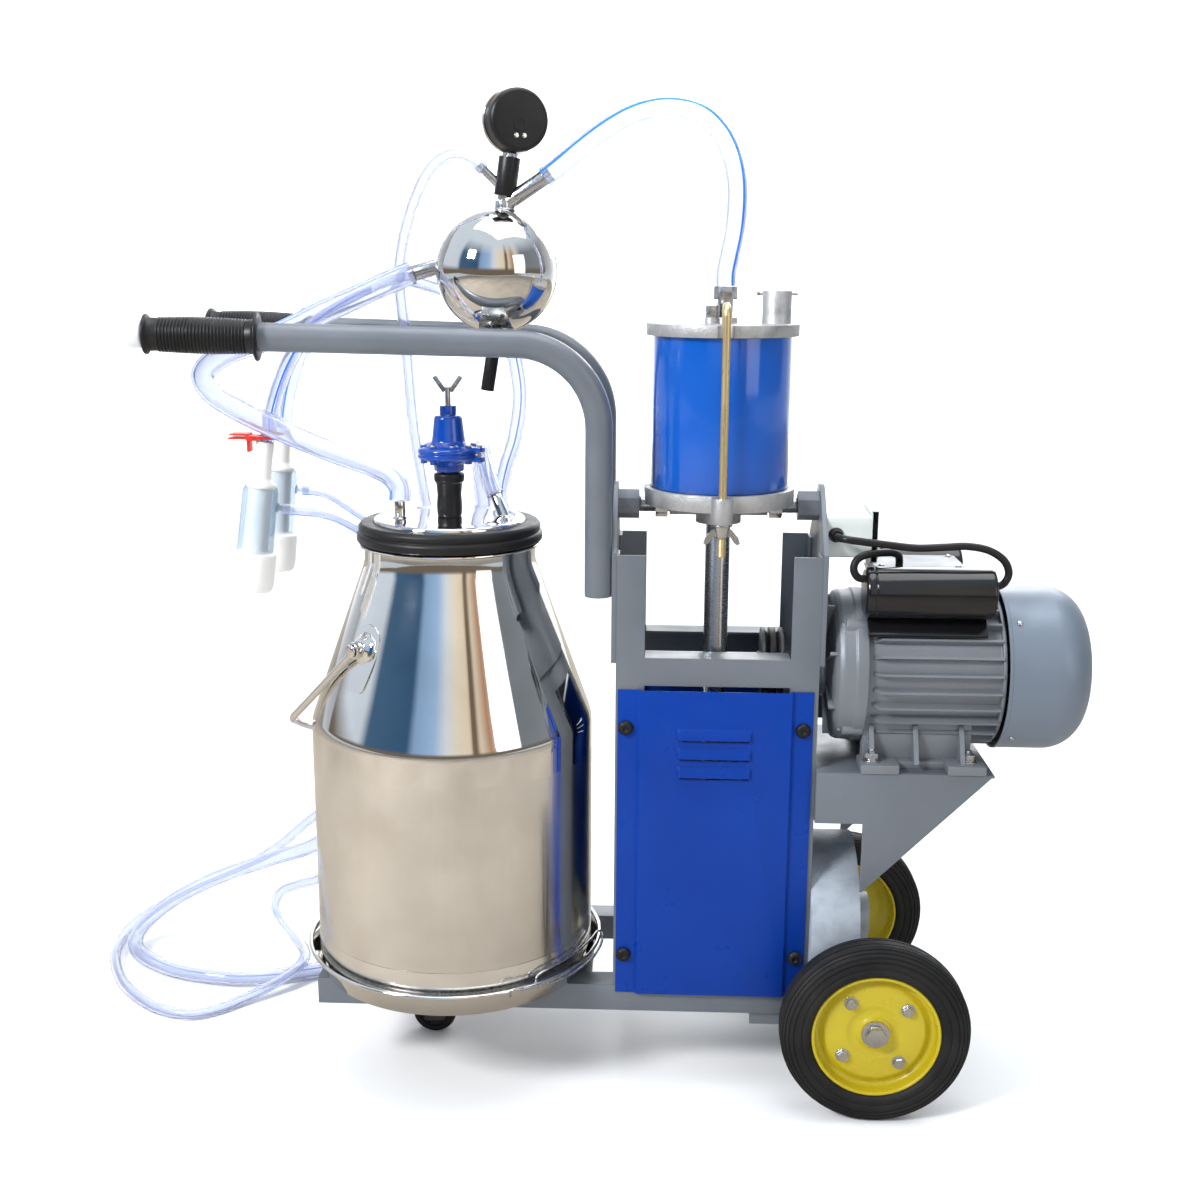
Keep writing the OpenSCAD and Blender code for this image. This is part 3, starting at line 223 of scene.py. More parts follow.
SHOULDER_Z = 0.405
M = {
    "frame": painted("frame_paint", (0.150, 0.168, 0.192), (0.115, 0.13, 0.15), (0.30, 0.45), 0.2),
    "blue": painted("blue_paint", (0.002, 0.036, 0.26), (0.002, 0.029, 0.22), (0.26, 0.38), Specular_IOR_Level=0.16),
    "blue_gloss": painted("blue_gloss", (0.003, 0.055, 0.34), (0.002, 0.042, 0.28), (0.06, 0.12), 0.0, 0.00004,
                          Coat_Weight=0.4, Coat_Roughness=0.04),
    "cylinder": painted("cylinder_paint", (0.004, 0.085, 0.42), (0.003, 0.068, 0.36), (0.08, 0.14), 0.0, 0.00004,
                        Coat_Weight=0.5, Coat_Roughness=0.04),
    "yellow": painted("yellow_paint", (0.48, 0.38, 0.010), (0.41, 0.31, 0.009), (0.24, 0.36)),
    "motor": painted("motor_paint", (0.205, 0.222, 0.245), (0.155, 0.168, 0.185), (0.34, 0.5), 0.3, 0.0003),
    "cover": painted("fan_cover_paint", (0.165, 0.20, 0.25), (0.14, 0.17, 0.21), (0.34, 0.44), 0.3),
    "cast": cast("cast_alloy", (0.46, 0.465, 0.47), (0.30, 0.30, 0.30)),
    "iron": cast("dark_iron", (0.075, 0.075, 0.08), (0.04, 0.04, 0.045)),
    "drum": cast("drum_casting", (0.34, 0.38, 0.43), (0.26, 0.29, 0.33), 0.0005, 0.1, (0.45, 0.6)),
    "zinc": turned("zinc_steel", (0.56, 0.57, 0.58), (0.40, 0.40, 0.41)),
    "rod": turned("ground_rod", (0.42, 0.43, 0.45), (0.30, 0.31, 0.32), (0.2, 0.3), (1, 1, 8)),
    "yellow_zinc": turned("yellow_zinc", (0.78, 0.62, 0.32), (0.66, 0.50, 0.26), (0.24, 0.36), (1, 1, 0.1), 0.9, 0.000004),
    "polished": turned("polished_steel", (0.76, 0.75, 0.73), (0.66, 0.65, 0.63), (0.03, 0.07), (1, 1, 1), 1.0, 0.000004),
    "bucket": brushed_bucket(),
    "tyre": moulded("tyre_rubber", (0.009, 0.009, 0.010), (0.020, 0.019, 0.018), (0.5, 0.7), 0.0003,
                    Specular_IOR_Level=0.22),
    "rubber": moulded("black_rubber", (0.008, 0.008, 0.009), (0.014, 0.014, 0.014), (0.32, 0.48),
                      Specular_IOR_Level=0.3),
    "black": moulded("black_plastic", (0.008, 0.008, 0.009), (0.012, 0.012, 0.013), (0.30, 0.42),
                     Specular_IOR_Level=0.3),
    "gloss_black": moulded("capacitor_black", (0.006, 0.006, 0.007), (0.009, 0.009, 0.010), (0.08, 0.16), 0.00003),
    "white": moulded("milky_plastic", (0.66, 0.70, 0.67), (0.60, 0.64, 0.62), (0.28, 0.4), Subsurface_Weight=0.15,
                     Subsurface_Radius=(0.01, 0.01, 0.01)),
    "plug": moulded("white_plug", (0.68, 0.68, 0.67), (0.60, 0.60, 0.58), (0.35, 0.45)),
    "liner": moulded("liner_rubber", (0.82, 0.81, 0.78), (0.77, 0.76, 0.72), (0.3, 0.42), Subsurface_Weight=0.2,
                     Subsurface_Radius=(0.008, 0.008, 0.008)),
    "red": moulded("red_plastic", (0.60, 0.022, 0.008), (0.50, 0.014, 0.008), (0.25, 0.35)),
    "gasket_beige": moulded("beige_gasket", (0.52, 0.44, 0.31), (0.44, 0.37, 0.26), (0.6, 0.75)),
    "dial": moulded("dial_white", (0.80, 0.80, 0.78), (0.74, 0.74, 0.72), (0.4, 0.5)),
    "hose": clear("clear_hose", (0.83, 0.86, 0.97), 0.05, 0.88, 1.42, 0.00001, (0.78, 0.81, 0.95)),
    "hose_line": clear("hose_line_blue", (0.02, 0.20, 0.80), 0.2, 0.25, 1.3, 0.00001, (0.02, 0.16, 0.70)),
    "shell": clear("cup_shell_clear", (0.64, 0.70, 0.76), 0.03, 0.98, 1.12, 0.00001, (0.61, 0.67, 0.74)),
    "fitting": clear("clear_fitting", (0.82, 0.84, 0.90), 0.12, 0.7, 1.3, 0.00002),
    "glass": clear("gauge_glass", (1, 1, 1), 0.02, 0.95, 1.1, 0.00001, (0.98, 0.98, 0.99)),
}

# ------------------------------------------------------------------ mesh helpers


def at_tower(x, y, z):
    return TOWER + Vector((x, y, z))


def made(name, mesh_builder, material, body, sharp=35.0):
    """Turns a bmesh into a named piece that rides on a body."""
    mesh = bpy.data.meshes.new(name)
    bmesh.ops.recalc_face_normals(mesh_builder, faces=mesh_builder.faces[:])
    mesh_builder.to_mesh(mesh)
    mesh_builder.free()
    for m in material if isinstance(material, (list, tuple)) else [material]:
        mesh.materials.append(m)
    for p in mesh.polygons:
        p.use_smooth = True
    mesh.set_sharp_from_angle(angle=math.radians(sharp))
    obj = bpy.data.objects.new(name, mesh)
    bpy.context.scene.collection.objects.link(obj)
    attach(obj, body)
    return obj


def facing(point, direction, roll=0.0):
    """A matrix that carries +Z to a direction, at a point."""
    turn = Vector((0, 0, 1)).rotation_difference(Vector(direction).normalized())
    return Matrix.Translation(point) @ turn.to_matrix().to_4x4() @ Matrix.Rotation(roll, 4, "Z")


def add_lathe(bm, profile, place, segments=96, slot=0):
    """Revolves a closed profile of (radius, height) points about +Z."""
    rings = []
    for r, z in profile:
        if r < 1e-7:
            rings.append([bm.verts.new(place @ Vector((0, 0, z)))])
            continue
        rings.append([
            bm.verts.new(place @ Vector((r * math.cos(a), r * math.sin(a), z)))
            for a in (2 * math.pi * k / segments for k in range(segments))
        ])
    for i, ring in enumerate(rings):
        after = rings[(i + 1) % len(rings)]
        for k in range(segments):
            n = (k + 1) % segments
            corners = [ring[k % len(ring)], ring[n % len(ring)], after[n % len(after)], after[k % len(after)]]
            corners = list(dict.fromkeys(corners))
            if len(corners) > 2:
                bm.faces.new(corners).material_index = slot


def rounded(points, radius, steps=3):
    """A closed profile with every corner rounded by about the given radius; axis points stay."""
    out = []
    n = len(points)
    for i, p in enumerate(points):
        p = Vector(p)
        a, b = Vector(points[i - 1]), Vector(points[(i + 1) % n])
        if p.x < 1e-7:
            out.append(tuple(p))
            continue
        ra = min(radius, (a - p).length * 0.45)
        rb = min(radius, (b - p).length * 0.45)
        start = p + (a - p).normalized() * ra
        end = p + (b - p).normalized() * rb
        for k in range(steps + 1):
            t = k / steps
            out.append(tuple((1 - t) ** 2 * start + 2 * t * (1 - t) * p + t * t * end))
    return out


def lathe(name, profile, place, material, body, segments=96, sharp=35.0):
    bm = bmesh.new()
    add_lathe(bm, profile, place, segments)
    return made(name, bm, material, body, sharp)


def add_rod(bm, a, b, r, edge=0.0006, segments=32, slot=0):
    a, b = Vector(a), Vector(b)
    length = (b - a).length
    profile = rounded([(0, 0), (r, 0), (r, length), (0, length)], edge, 2)
    add_lathe(bm, profile, facing(a, b - a), segments, slot)


def add_pipe(bm, a, b, r, bore, edge=0.0005, segments=32, slot=0):
    a, b = Vector(a), Vector(b)
    length = (b - a).length
    profile = rounded([(bore, 0), (r, 0), (r, length), (bore, length)], edge, 2)
    add_lathe(bm, profile, facing(a, b - a), segments, slot)


def add_box(bm, low, high, edge=0.0008, place=Matrix.Identity(4), slot=0):
    """A box with its edges rounded by a two-segment bevel."""
    low, high = Vector(low), Vector(high)
    found = bmesh.ops.create_cube(bm, size=1, matrix=place @ Matrix.Translation((low + high) / 2)
                                  @ Matrix.Diagonal((*(high - low), 1)))
    edges = list({e for v in found["verts"] for e in v.link_edges})
    faces = {f for v in found["verts"] for f in v.link_faces}
    for f in faces:
        f.material_index = slot
    if edge:
        bmesh.ops.bevel(bm, geom=edges, offset=edge, segments=2, affect="EDGES", profile=0.6)


def add_hex(bm, place, flats, height, edge=0.0006, slot=0):
    """Bolt head or nut along +Z with its corners turned down."""
    r = flats / math.sqrt(3)
    levels = [(r * 0.93, 0), (r, edge), (r, height - edge * 1.5), (r * 0.88, height)]
    rings = [[bm.verts.new(place @ Vector((q * math.cos(k * math.pi / 3), q * math.sin(k * math.pi / 3), z)))
              for k in range(6)] for q, z in levels]
    for low, high in zip(rings, rings[1:]):
        for k in range(6):
            n = (k + 1) % 6
            bm.faces.new([low[k], low[n], high[n], high[k]]).material_index = slot
    bm.faces.new(rings[0][::-1]).material_index = slot
    bm.faces.new(rings[-1]).material_index = slot


def add_prism(bm, outline, depth, place, slot=0):
    """Extrudes an outline in the XY plane along +Z."""
    low = [bm.verts.new(place @ Vector((x, y, 0))) for x, y in outline]
    high = [bm.verts.new(place @ Vector((x, y, depth))) for x, y in outline]
    n = len(outline)
    for k in range(n):
        bm.faces.new([low[k], low[(k + 1) % n], high[(k + 1) % n], high[k]]).material_index = slot
    bm.faces.new(low[::-1]).material_index = slot
    bm.faces.new(high).material_index = slot


def smooth_route(points, steps):
    """Catmull-Rom curve through the points."""
    p = [Vector(q) for q in points]
    out = []
    for i in range(len(p) - 1):
        a, b, c, d = p[max(i - 1, 0)], p[i], p[i + 1], p[min(i + 2, len(p) - 1)]
        for k in range(steps):
            t = k / steps
            out.append(0.5 * (2 * b + (c - a) * t + (2 * a - 5 * b + 4 * c - d) * t * t
                              + (3 * b - a - 3 * c + d) * t ** 3))
    out.append(p[-1])
    return out


def add_tube(bm, line, r, bore, sides=20, stripe=None, slot=0, line_slot=1):
    """A hose with a wall, swept along a line; stripe is the first side of its coloured line."""
    n = len(line)
    tangents = [(line[min(i + 1, n - 1)] - line[max(i - 1, 0)]).normalized() for i in range(n)]
    side = Vector((0, 1, 0)) if abs(tangents[0].z) > 0.9 else Vector((0, 0, 1))
    outer, inner = [], []
    for at, t in zip(line, tangents):
        side = (side - side.dot(t) * t).normalized()
        other = t.cross(side)
        around = [math.cos(2 * math.pi * k / sides) * side + math.sin(2 * math.pi * k / sides) * other
                  for k in range(sides)]
        outer.append([bm.verts.new(at + r * d) for d in around])
        inner.append([bm.verts.new(at + bore * d) for d in around] if bore else None)
    for i in range(n - 1):
        for k in range(sides):
            m = (k + 1) % sides
            f = bm.faces.new([outer[i][k], outer[i][m], outer[i + 1][m], outer[i + 1][k]])
            f.material_index = line_slot if stripe is not None and k in stripe else slot
            if bore:
                bm.faces.new([inner[i][k], inner[i + 1][k], inner[i + 1][m], inner[i][m]]).material_index = slot
    for i, flip in ((0, True), (n - 1, False)):
        if not bore:
            bm.faces.new(outer[i][::-1] if flip else outer[i]).material_index = slot
            continue
        for k in range(sides):
            m = (k + 1) % sides
            corners = [outer[i][k], outer[i][m], inner[i][m], inner[i][k]]
            bm.faces.new(corners[::-1] if flip else corners).material_index = slot


# ------------------------------------------------------------------ hoses
# Each route is measured from the tower, like the part's source, in metres

PUMP_ROUTE = [
    (-0.078, 0, 0.972), (-0.06, 0, 0.986), (-0.038, 0, 1.004), (-0.014, 0, 1.021),
    (0.01, 0, 1.034), (0.034, 0, 1.041), (0.058, 0, 1.041), (0.08, 0, 1.034), (0.098, 0, 1.018),
    (0.11, 0, 0.996), (0.116, 0, 0.972), (0.117, 0, 0.946), (0.115, 0, 0.92), (0.111, 0, 0.898),
    (0.1077, 0, 0.88), (0.1077, 0, 0.8664),
]
BUCKET_ROUTE = [
    (-0.215, 0, 0.878), (-0.243, -0.004, 0.866), (-0.278, -0.012, 0.85), (-0.308, -0.022, 0.836),
    (-0.336, -0.035, 0.821), (-0.364, -0.046, 0.809), (-0.39, -0.055, 0.8), (-0.411, -0.06, 0.788),
    (-0.42, -0.062, 0.774), (-0.41, -0.062, 0.757), (-0.385, -0.058, 0.74),
    (-0.356, -0.054, 0.725), (-0.322, -0.047, 0.709), (-0.288, -0.038, 0.694),
    (-0.26, -0.026, 0.682), (-0.241, -0.016, 0.67), (-0.232, -0.012, 0.656),
    (-0.232, -0.012, 0.6424),
]
MILK_ROUTE = [
    (-0.1342, 0.0192, 0.6454), (-0.141, 0.026, 0.66), (-0.149, 0.045, 0.68), (-0.156, 0.078, 0.69),
    (-0.161, 0.108, 0.676), (-0.162, 0.128, 0.64), (-0.16, 0.148, 0.59), (-0.158, 0.172, 0.53),
    (-0.162, 0.192, 0.46), (-0.172, 0.202, 0.4), (-0.195, 0.206, 0.345), (-0.235, 0.205, 0.295),
    (-0.285, 0.2, 0.25), (-0.335, 0.196, 0.205), (-0.391, 0.195, 0.164), (-0.449, 0.205, 0.14),
    (-0.521, 0.22, 0.108), (-0.58, 0.23, 0.074), (-0.62, 0.236, 0.042), (-0.638, 0.232, 0.02),
    (-0.636, 0.212, 0.0105), (-0.614, 0.182, 0.0105), (-0.575, 0.154, 0.0105),
    (-0.53, 0.138, 0.0105), (-0.48, 0.131, 0.0105), (-0.43, 0.138, 0.0105),
    (-0.382, 0.158, 0.0105), (-0.325, 0.178, 0.0105), (-0.265, 0.195, 0.012),
    (-0.205, 0.205, 0.02), (-0.155, 0.208, 0.042), (-0.122, 0.205, 0.085), (-0.105, 0.2, 0.14),
    (-0.098, 0.198, 0.21), (-0.096, 0.197, 0.29), (-0.097, 0.196, 0.37), (-0.101, 0.192, 0.45),
    (-0.112, 0.176, 0.525), (-0.13, 0.158, 0.58), (-0.141, 0.143, 0.62), (-0.135, 0.132, 0.655),
    (-0.122, 0.12, 0.695), (-0.115, 0.109, 0.74), (-0.119, 0.105, 0.78), (-0.128, 0.106, 0.812),
    (-0.146, 0.104, 0.838), (-0.172, 0.09, 0.853), (-0.197, 0.07, 0.862), (-0.216, 0.05, 0.869),
    (-0.234, 0.034, 0.873),
]
PULSE_ROUTE = [
    (-0.14, 0, 0.9802), (-0.15, 0.0005, 0.9888), (-0.163, 0.003, 0.995), (-0.18, 0.01, 0.994),
    (-0.198, 0.019, 0.982), (-0.216, 0.032, 0.954), (-0.231, 0.044, 0.915), (-0.238, 0.052, 0.88),
    (-0.238, 0.058, 0.848), (-0.235, 0.062, 0.812), (-0.234, 0.072, 0.77), (-0.233, 0.086, 0.72),
    (-0.229, 0.106, 0.66), (-0.222, 0.128, 0.6), (-0.208, 0.158, 0.56), (-0.195, 0.186, 0.522),
    (-0.189, 0.206, 0.475), (-0.189, 0.222, 0.415), (-0.2, 0.23, 0.35), (-0.23, 0.23, 0.292),
    (-0.285, 0.224, 0.246), (-0.335, 0.22, 0.218), (-0.388, 0.217, 0.198), (-0.444, 0.227, 0.149),
    (-0.504, 0.242, 0.106), (-0.568, 0.258, 0.072), (-0.622, 0.264, 0.042), (-0.658, 0.258, 0.016),
    (-0.664, 0.228, 0.007), (-0.65, 0.175, 0.007), (-0.615, 0.112, 0.007), (-0.564, 0.062, 0.007),
    (-0.516, 0.044, 0.007), (-0.484, 0.056, 0.007), (-0.456, 0.083, 0.008), (-0.424, 0.108, 0.016),
    (-0.401, 0.132, 0.026), (-0.397, 0.154, 0.028), (-0.404, 0.182, 0.024), (-0.418, 0.212, 0.02),
    (-0.438, 0.236, 0.026), (-0.456, 0.25, 0.042), (-0.458, 0.25, 0.06), (-0.444, 0.242, 0.08),
    (-0.42, 0.23, 0.094), (-0.392, 0.222, 0.106), (-0.355, 0.22, 0.126), (-0.318, 0.226, 0.16),
    (-0.287, 0.238, 0.204), (-0.264, 0.252, 0.262), (-0.251, 0.26, 0.335), (-0.248, 0.258, 0.41),
    (-0.252, 0.246, 0.48), (-0.258, 0.212, 0.53), (-0.262, 0.16, 0.565), (-0.258, 0.126, 0.578),
]
NEAR_MILK_ROUTE = [
    (-0.264, 0.024, 0.862), (-0.28, 0.019, 0.854), (-0.3, 0.011, 0.841), (-0.32, 0.002, 0.823),
    (-0.337, -0.006, 0.801), (-0.35, -0.012, 0.776), (-0.36, -0.017, 0.747),
    (-0.366, -0.019, 0.722), (-0.3685, -0.02, 0.7043),
]
FAR_MILK_ROUTE = [
    (-0.266, 0.041, 0.862), (-0.282, 0.044, 0.857), (-0.302, 0.048, 0.847), (-0.321, 0.052, 0.83),
    (-0.338, 0.055, 0.808), (-0.351, 0.057, 0.782), (-0.361, 0.057, 0.754), (-0.366, 0.057, 0.73),
    (-0.3685, 0.057, 0.7123),
]
NEAR_PULSE_ROUTE = [
    (-0.355, -0.02, 0.633), (-0.34, -0.018, 0.631), (-0.322, -0.006, 0.627),
    (-0.306, 0.014, 0.618), (-0.294, 0.038, 0.605), (-0.282, 0.062, 0.592), (-0.268, 0.084, 0.581),
    (-0.258, 0.098, 0.578),
]
FAR_PULSE_ROUTE = [
    (-0.353, 0.057, 0.641), (-0.338, 0.06, 0.64), (-0.322, 0.07, 0.632), (-0.304, 0.084, 0.616),
    (-0.287, 0.096, 0.601), (-0.272, 0.106, 0.592),
]

HOSE_STEPS = 8
HOSE_SIDES = 28
HOSES = [
    # piece, route, CAD node, outer radius, bore radius, stiffness, lay, side of the blue line, fitting at its end
    ("pump_hose_clear", PUMP_ROUTE, "pump_hose", 0.012, 0.0085, "stiff", "loose", 4, None),
    ("bucket_hose_clear", BUCKET_ROUTE, "bucket_hose", 0.012, 0.0085, "medium", "hanging", 26, None),
    ("milk_hose_clear", MILK_ROUTE, "milk_hose", 0.0095, 0.0065, "medium", "loose", 5, "y_piece"),
    ("pulse_hose_clear", PULSE_ROUTE, "pulse_hose", 0.0065, 0.0040, "medium", "loose", 9, "t_piece"),
    ("near_milk_tube_clear", NEAR_MILK_ROUTE, "near_milk_tube", 0.008, 0.0055, "limp", "hanging", 21, None),
    ("far_milk_tube_clear", FAR_MILK_ROUTE, "far_milk_tube", 0.008, 0.0055, "limp", "hanging", 21, None),
    ("near_pulse_tube_clear", NEAR_PULSE_ROUTE, "near_pulse_tube", 0.0055, 0.0032, "limp", "hanging", 10, None),
    ("far_pulse_tube_clear", FAR_PULSE_ROUTE, "far_pulse_tube", 0.0055, 0.0032, "limp", "hanging", 10, None),
]


FLOOR_GAP = 0.0003


def make_hoses():
    for name, route, node, r, bore, stiffness, lay, stripe, joint in HOSES:
        line = smooth_route([at_tower(*p) for p in route], HOSE_STEPS)
        line = [Vector((p.x, p.y, max(p.z, r + FLOOR_GAP))) for p in line]
        bm = bmesh.new()
        add_tube(bm, line, r, bore, HOSE_SIDES, stripe=(stripe,))
        piece = made(name, bm, [M["hose"], M["hose_line"]], "frame", 60)
        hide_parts(node)


make_hoses()


def make_lead(name, points, node):
    bm = bmesh.new()
    for route in points:
        add_tube(bm, smooth_route([at_tower(*p) for p in route], HOSE_STEPS), 0.004, 0, 14)
    piece = made(name, bm, M["rubber"], "frame", 60)
    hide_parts(node)


CABLE_ROUTE = [
    (0.226, -0.048, 0.616), (0.227, -0.058, 0.616), (0.234, -0.066, 0.616), (0.25, -0.067, 0.614),
    (0.276, -0.066, 0.611), (0.304, -0.065, 0.608), (0.332, -0.064, 0.609), (0.356, -0.063, 0.61),
    (0.378, -0.062, 0.606), (0.394, -0.062, 0.596), (0.4, -0.062, 0.583), (0.396, -0.062, 0.572),
    (0.386, -0.062, 0.567),
]
LEAD_ROUTE = [
    (0.254, -0.06, 0.574), (0.247, -0.06, 0.576), (0.243, -0.059, 0.584), (0.246, -0.057, 0.593),
    (0.256, -0.053, 0.598), (0.27, -0.048, 0.599), (0.284, -0.04, 0.598), (0.292, -0.033, 0.594),
    (0.294, -0.03, 0.588), (0.294, -0.03, 0.582),
]
make_lead("motor_cable_black", [CABLE_ROUTE, LEAD_ROUTE], "motor_cable")

# ------------------------------------------------------------------ CAD nodes that stay

KEPT = {
    # node: (material, bevel width in metres or 0)
    "base_frame": ("frame", 0.0006), "tower_frame": ("frame", 0.0006), "motor_bracket": ("frame", 0.0006),
    "pivot_plates": ("frame", 0.0005), "front_panel": ("blue", 0.0004), "rear_panel": ("blue", 0.0004),
    "frame_fasteners": ("black", 0.0004), "axle": ("zinc", 0.0004), "caster_fork": ("iron", 0.0004),
    "caster_wheel": ("rubber", 0.0005), "near_handle": ("frame", 0), "far_handle": ("frame", 0),
    "tank_sleeves": ("rubber", 0.0004), "gauge_needle": ("red", 0), "pump_cylinder": ("blue", 0),
    "pump_top_cover": ("cast", 0.0007), "pump_bottom_cover": ("cast", 0.0007),
    "hook_bolts": ("yellow_zinc", 0), "pump_fittings": ("zinc", 0.0004), "trunnion_pins": ("zinc", 0.0004),
    "piston": ("iron", 0.0004), "piston_rod": ("rod", 0.0005), "crank": ("iron", 0.0006),
    "driven_pulley": ("iron", 0.0005), "drive_belt": ("rubber", 0.0004), "motor_rotor": ("iron", 0.0005),
    "motor_body": ("motor", 0.0006), "motor_fan_cover": ("cover", 0.0005), "capacitors": ("gloss_black", 0.0004),
    "switch_box": ("white", 0.0010), "rocker": ("red", 0.0005), "reducer_drum": ("drum", 0.0010),
    "bail": ("polished", 0), "tray": ("polished", 0), "lid": ("polished", 0.0004), "lid_gasket": ("rubber", 0.0006),
    "wing_screw": ("zinc", 0.0004), "regulator": ("blue_gloss", 0.0006), "gauge_case": ("black", 0.0006),
    "cup_shells": ("shell", 0.0004), "cup_liners": ("liner", 0.0005), "shut_off_clip": ("red", 0.0006),
    "y_piece": ("fitting", 0), "t_piece": ("fitting", 0), "handle_grips": ("rubber", 0.0003),
    "vacuum_tank": ("polished", 0), "bucket": ("bucket", 0),
    "near_rim": ("yellow", 0.0005), "far_rim": ("yellow", 0.0005), "near_tyre": ("tyre", 0), "far_tyre": ("tyre", 0),
}


def dress(node, material, edge):
    """Gives a CAD node its material, smooth curved faces and, where it has any, softened edges."""
    obj = nodes[node]
    obj.data.materials.clear()
    obj.data.materials.append(M[material])
    for p in obj.data.polygons:
        p.use_smooth = True
        p.material_index = 0
    facets = obj.data.attributes.get("custom_normal")
    if facets:
        obj.data.attributes.remove(facets)
    weld = obj.modifiers.new("weld", "WELD")
    weld.merge_threshold = 0.00002
    if edge:
        bevel = obj.modifiers.new("edge", "BEVEL")
        bevel.width = edge
        bevel.segments = 2
        bevel.limit_method = "ANGLE"
        bevel.angle_limit = math.radians(40)
    split = obj.modifiers.new("creases", "EDGE_SPLIT")
    split.split_angle = math.radians(32)


for node_name, (material_name, edge_width) in KEPT.items():
    dress(node_name, material_name, edge_width)


# ------------------------------------------------------------------ tank and gauge


def stands_for(piece, node):
    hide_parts(node)
    return piece


def arc(cx, cz, r, start, end, steps):
    """Points on an arc of a profile, angles in degrees from the radius axis."""
    return [(cx + r * math.cos(math.radians(start + (end - start) * k / steps)),
             cz + r * math.sin(math.radians(start + (end - start) * k / steps))) for k in range(steps + 1)]


def make_tank():
    r, seam = 0.062, 0.004
    middle = at_tower(*TANK_AT)
    profile = ([(0, -r - seam)] + arc(0, -seam, r, -88, -2, 40) + [(r, -seam + 0.0004), (r + 0.0007, -seam + 0.0012)]
               + [(r + 0.0007, -seam + 0.0022), (r, -seam + 0.003), (r, seam - 0.003)]
               + [(r + 0.0007, seam - 0.0022), (r + 0.0007, seam - 0.0012), (r, seam - 0.0004)]
               + arc(0, seam, r, 2, 88, 40) + [(0, r + seam)])
    shell = lathe("tank_shell", profile, facing(middle, (0, 1, 0)), M["polished"], "frame", 160, 50)
    stands_for(shell, "vacuum_tank")
    bm = bmesh.new()
    add_pipe(bm, middle + Vector((-0.052, 0, 0.0067)), middle + Vector((-0.090, 0, -0.004)), 0.008, 0.0055)
    add_rod(bm, middle + Vector((0.008, 0, 0.056)), middle + Vector((0.008, 0, 0.070)), 0.009)
    add_lathe(bm, rounded([(0, 0), (0.013, 0), (0.0115, 0.003), (0, 0.003)], 0.001),
              facing(middle + Vector((0.008, 0, 0.0600)), (0, 0, 1)), 40)
    add_rod(bm, at_tower(-0.1196, 0, 0.950), at_tower(-0.113, 0, 0.996), 0.007)
    add_hex(bm, facing(at_tower(-0.1135, 0, 0.9925), (0.0066, 0, 0.046)), 0.0135, 0.0045)
    add_pipe(bm, at_tower(-0.116, 0, 0.948), at_tower(-0.072, 0, 0.977), 0.008, 0.0055)
    add_pipe(bm, at_tower(-0.117, 0, 0.958), at_tower(-0.145, 0, 0.985), 0.0045, 0.003)
    plate = at_tower(TANK_AT[0], 0, 0.812)
    add_box(bm, plate + Vector((-0.02, -0.066, 0)), plate + Vector((0.02, 0.066, 0.004)), 0.0008)
    add_lathe(bm, rounded([(0, 0.004), (0.022, 0.004), (0.020, 0.0075), (0.013, 0.0095), (0, 0.0095)], 0.0012),
              Matrix.Translation(plate), 48)
    for side in (-1, 1):
        for dx in (-0.012, 0.012):
            add_hex(bm, Matrix.Translation(plate + Vector((dx, side * 0.045, 0.004))), 0.008, 0.003)
    add_rod(bm, at_tower(-0.130, 0, 0.813), at_tower(-0.134, 0, 0.788), 0.005)
    stands_for(made("tank_fittings", bm, M["zinc"], "frame"), "vacuum_tank")


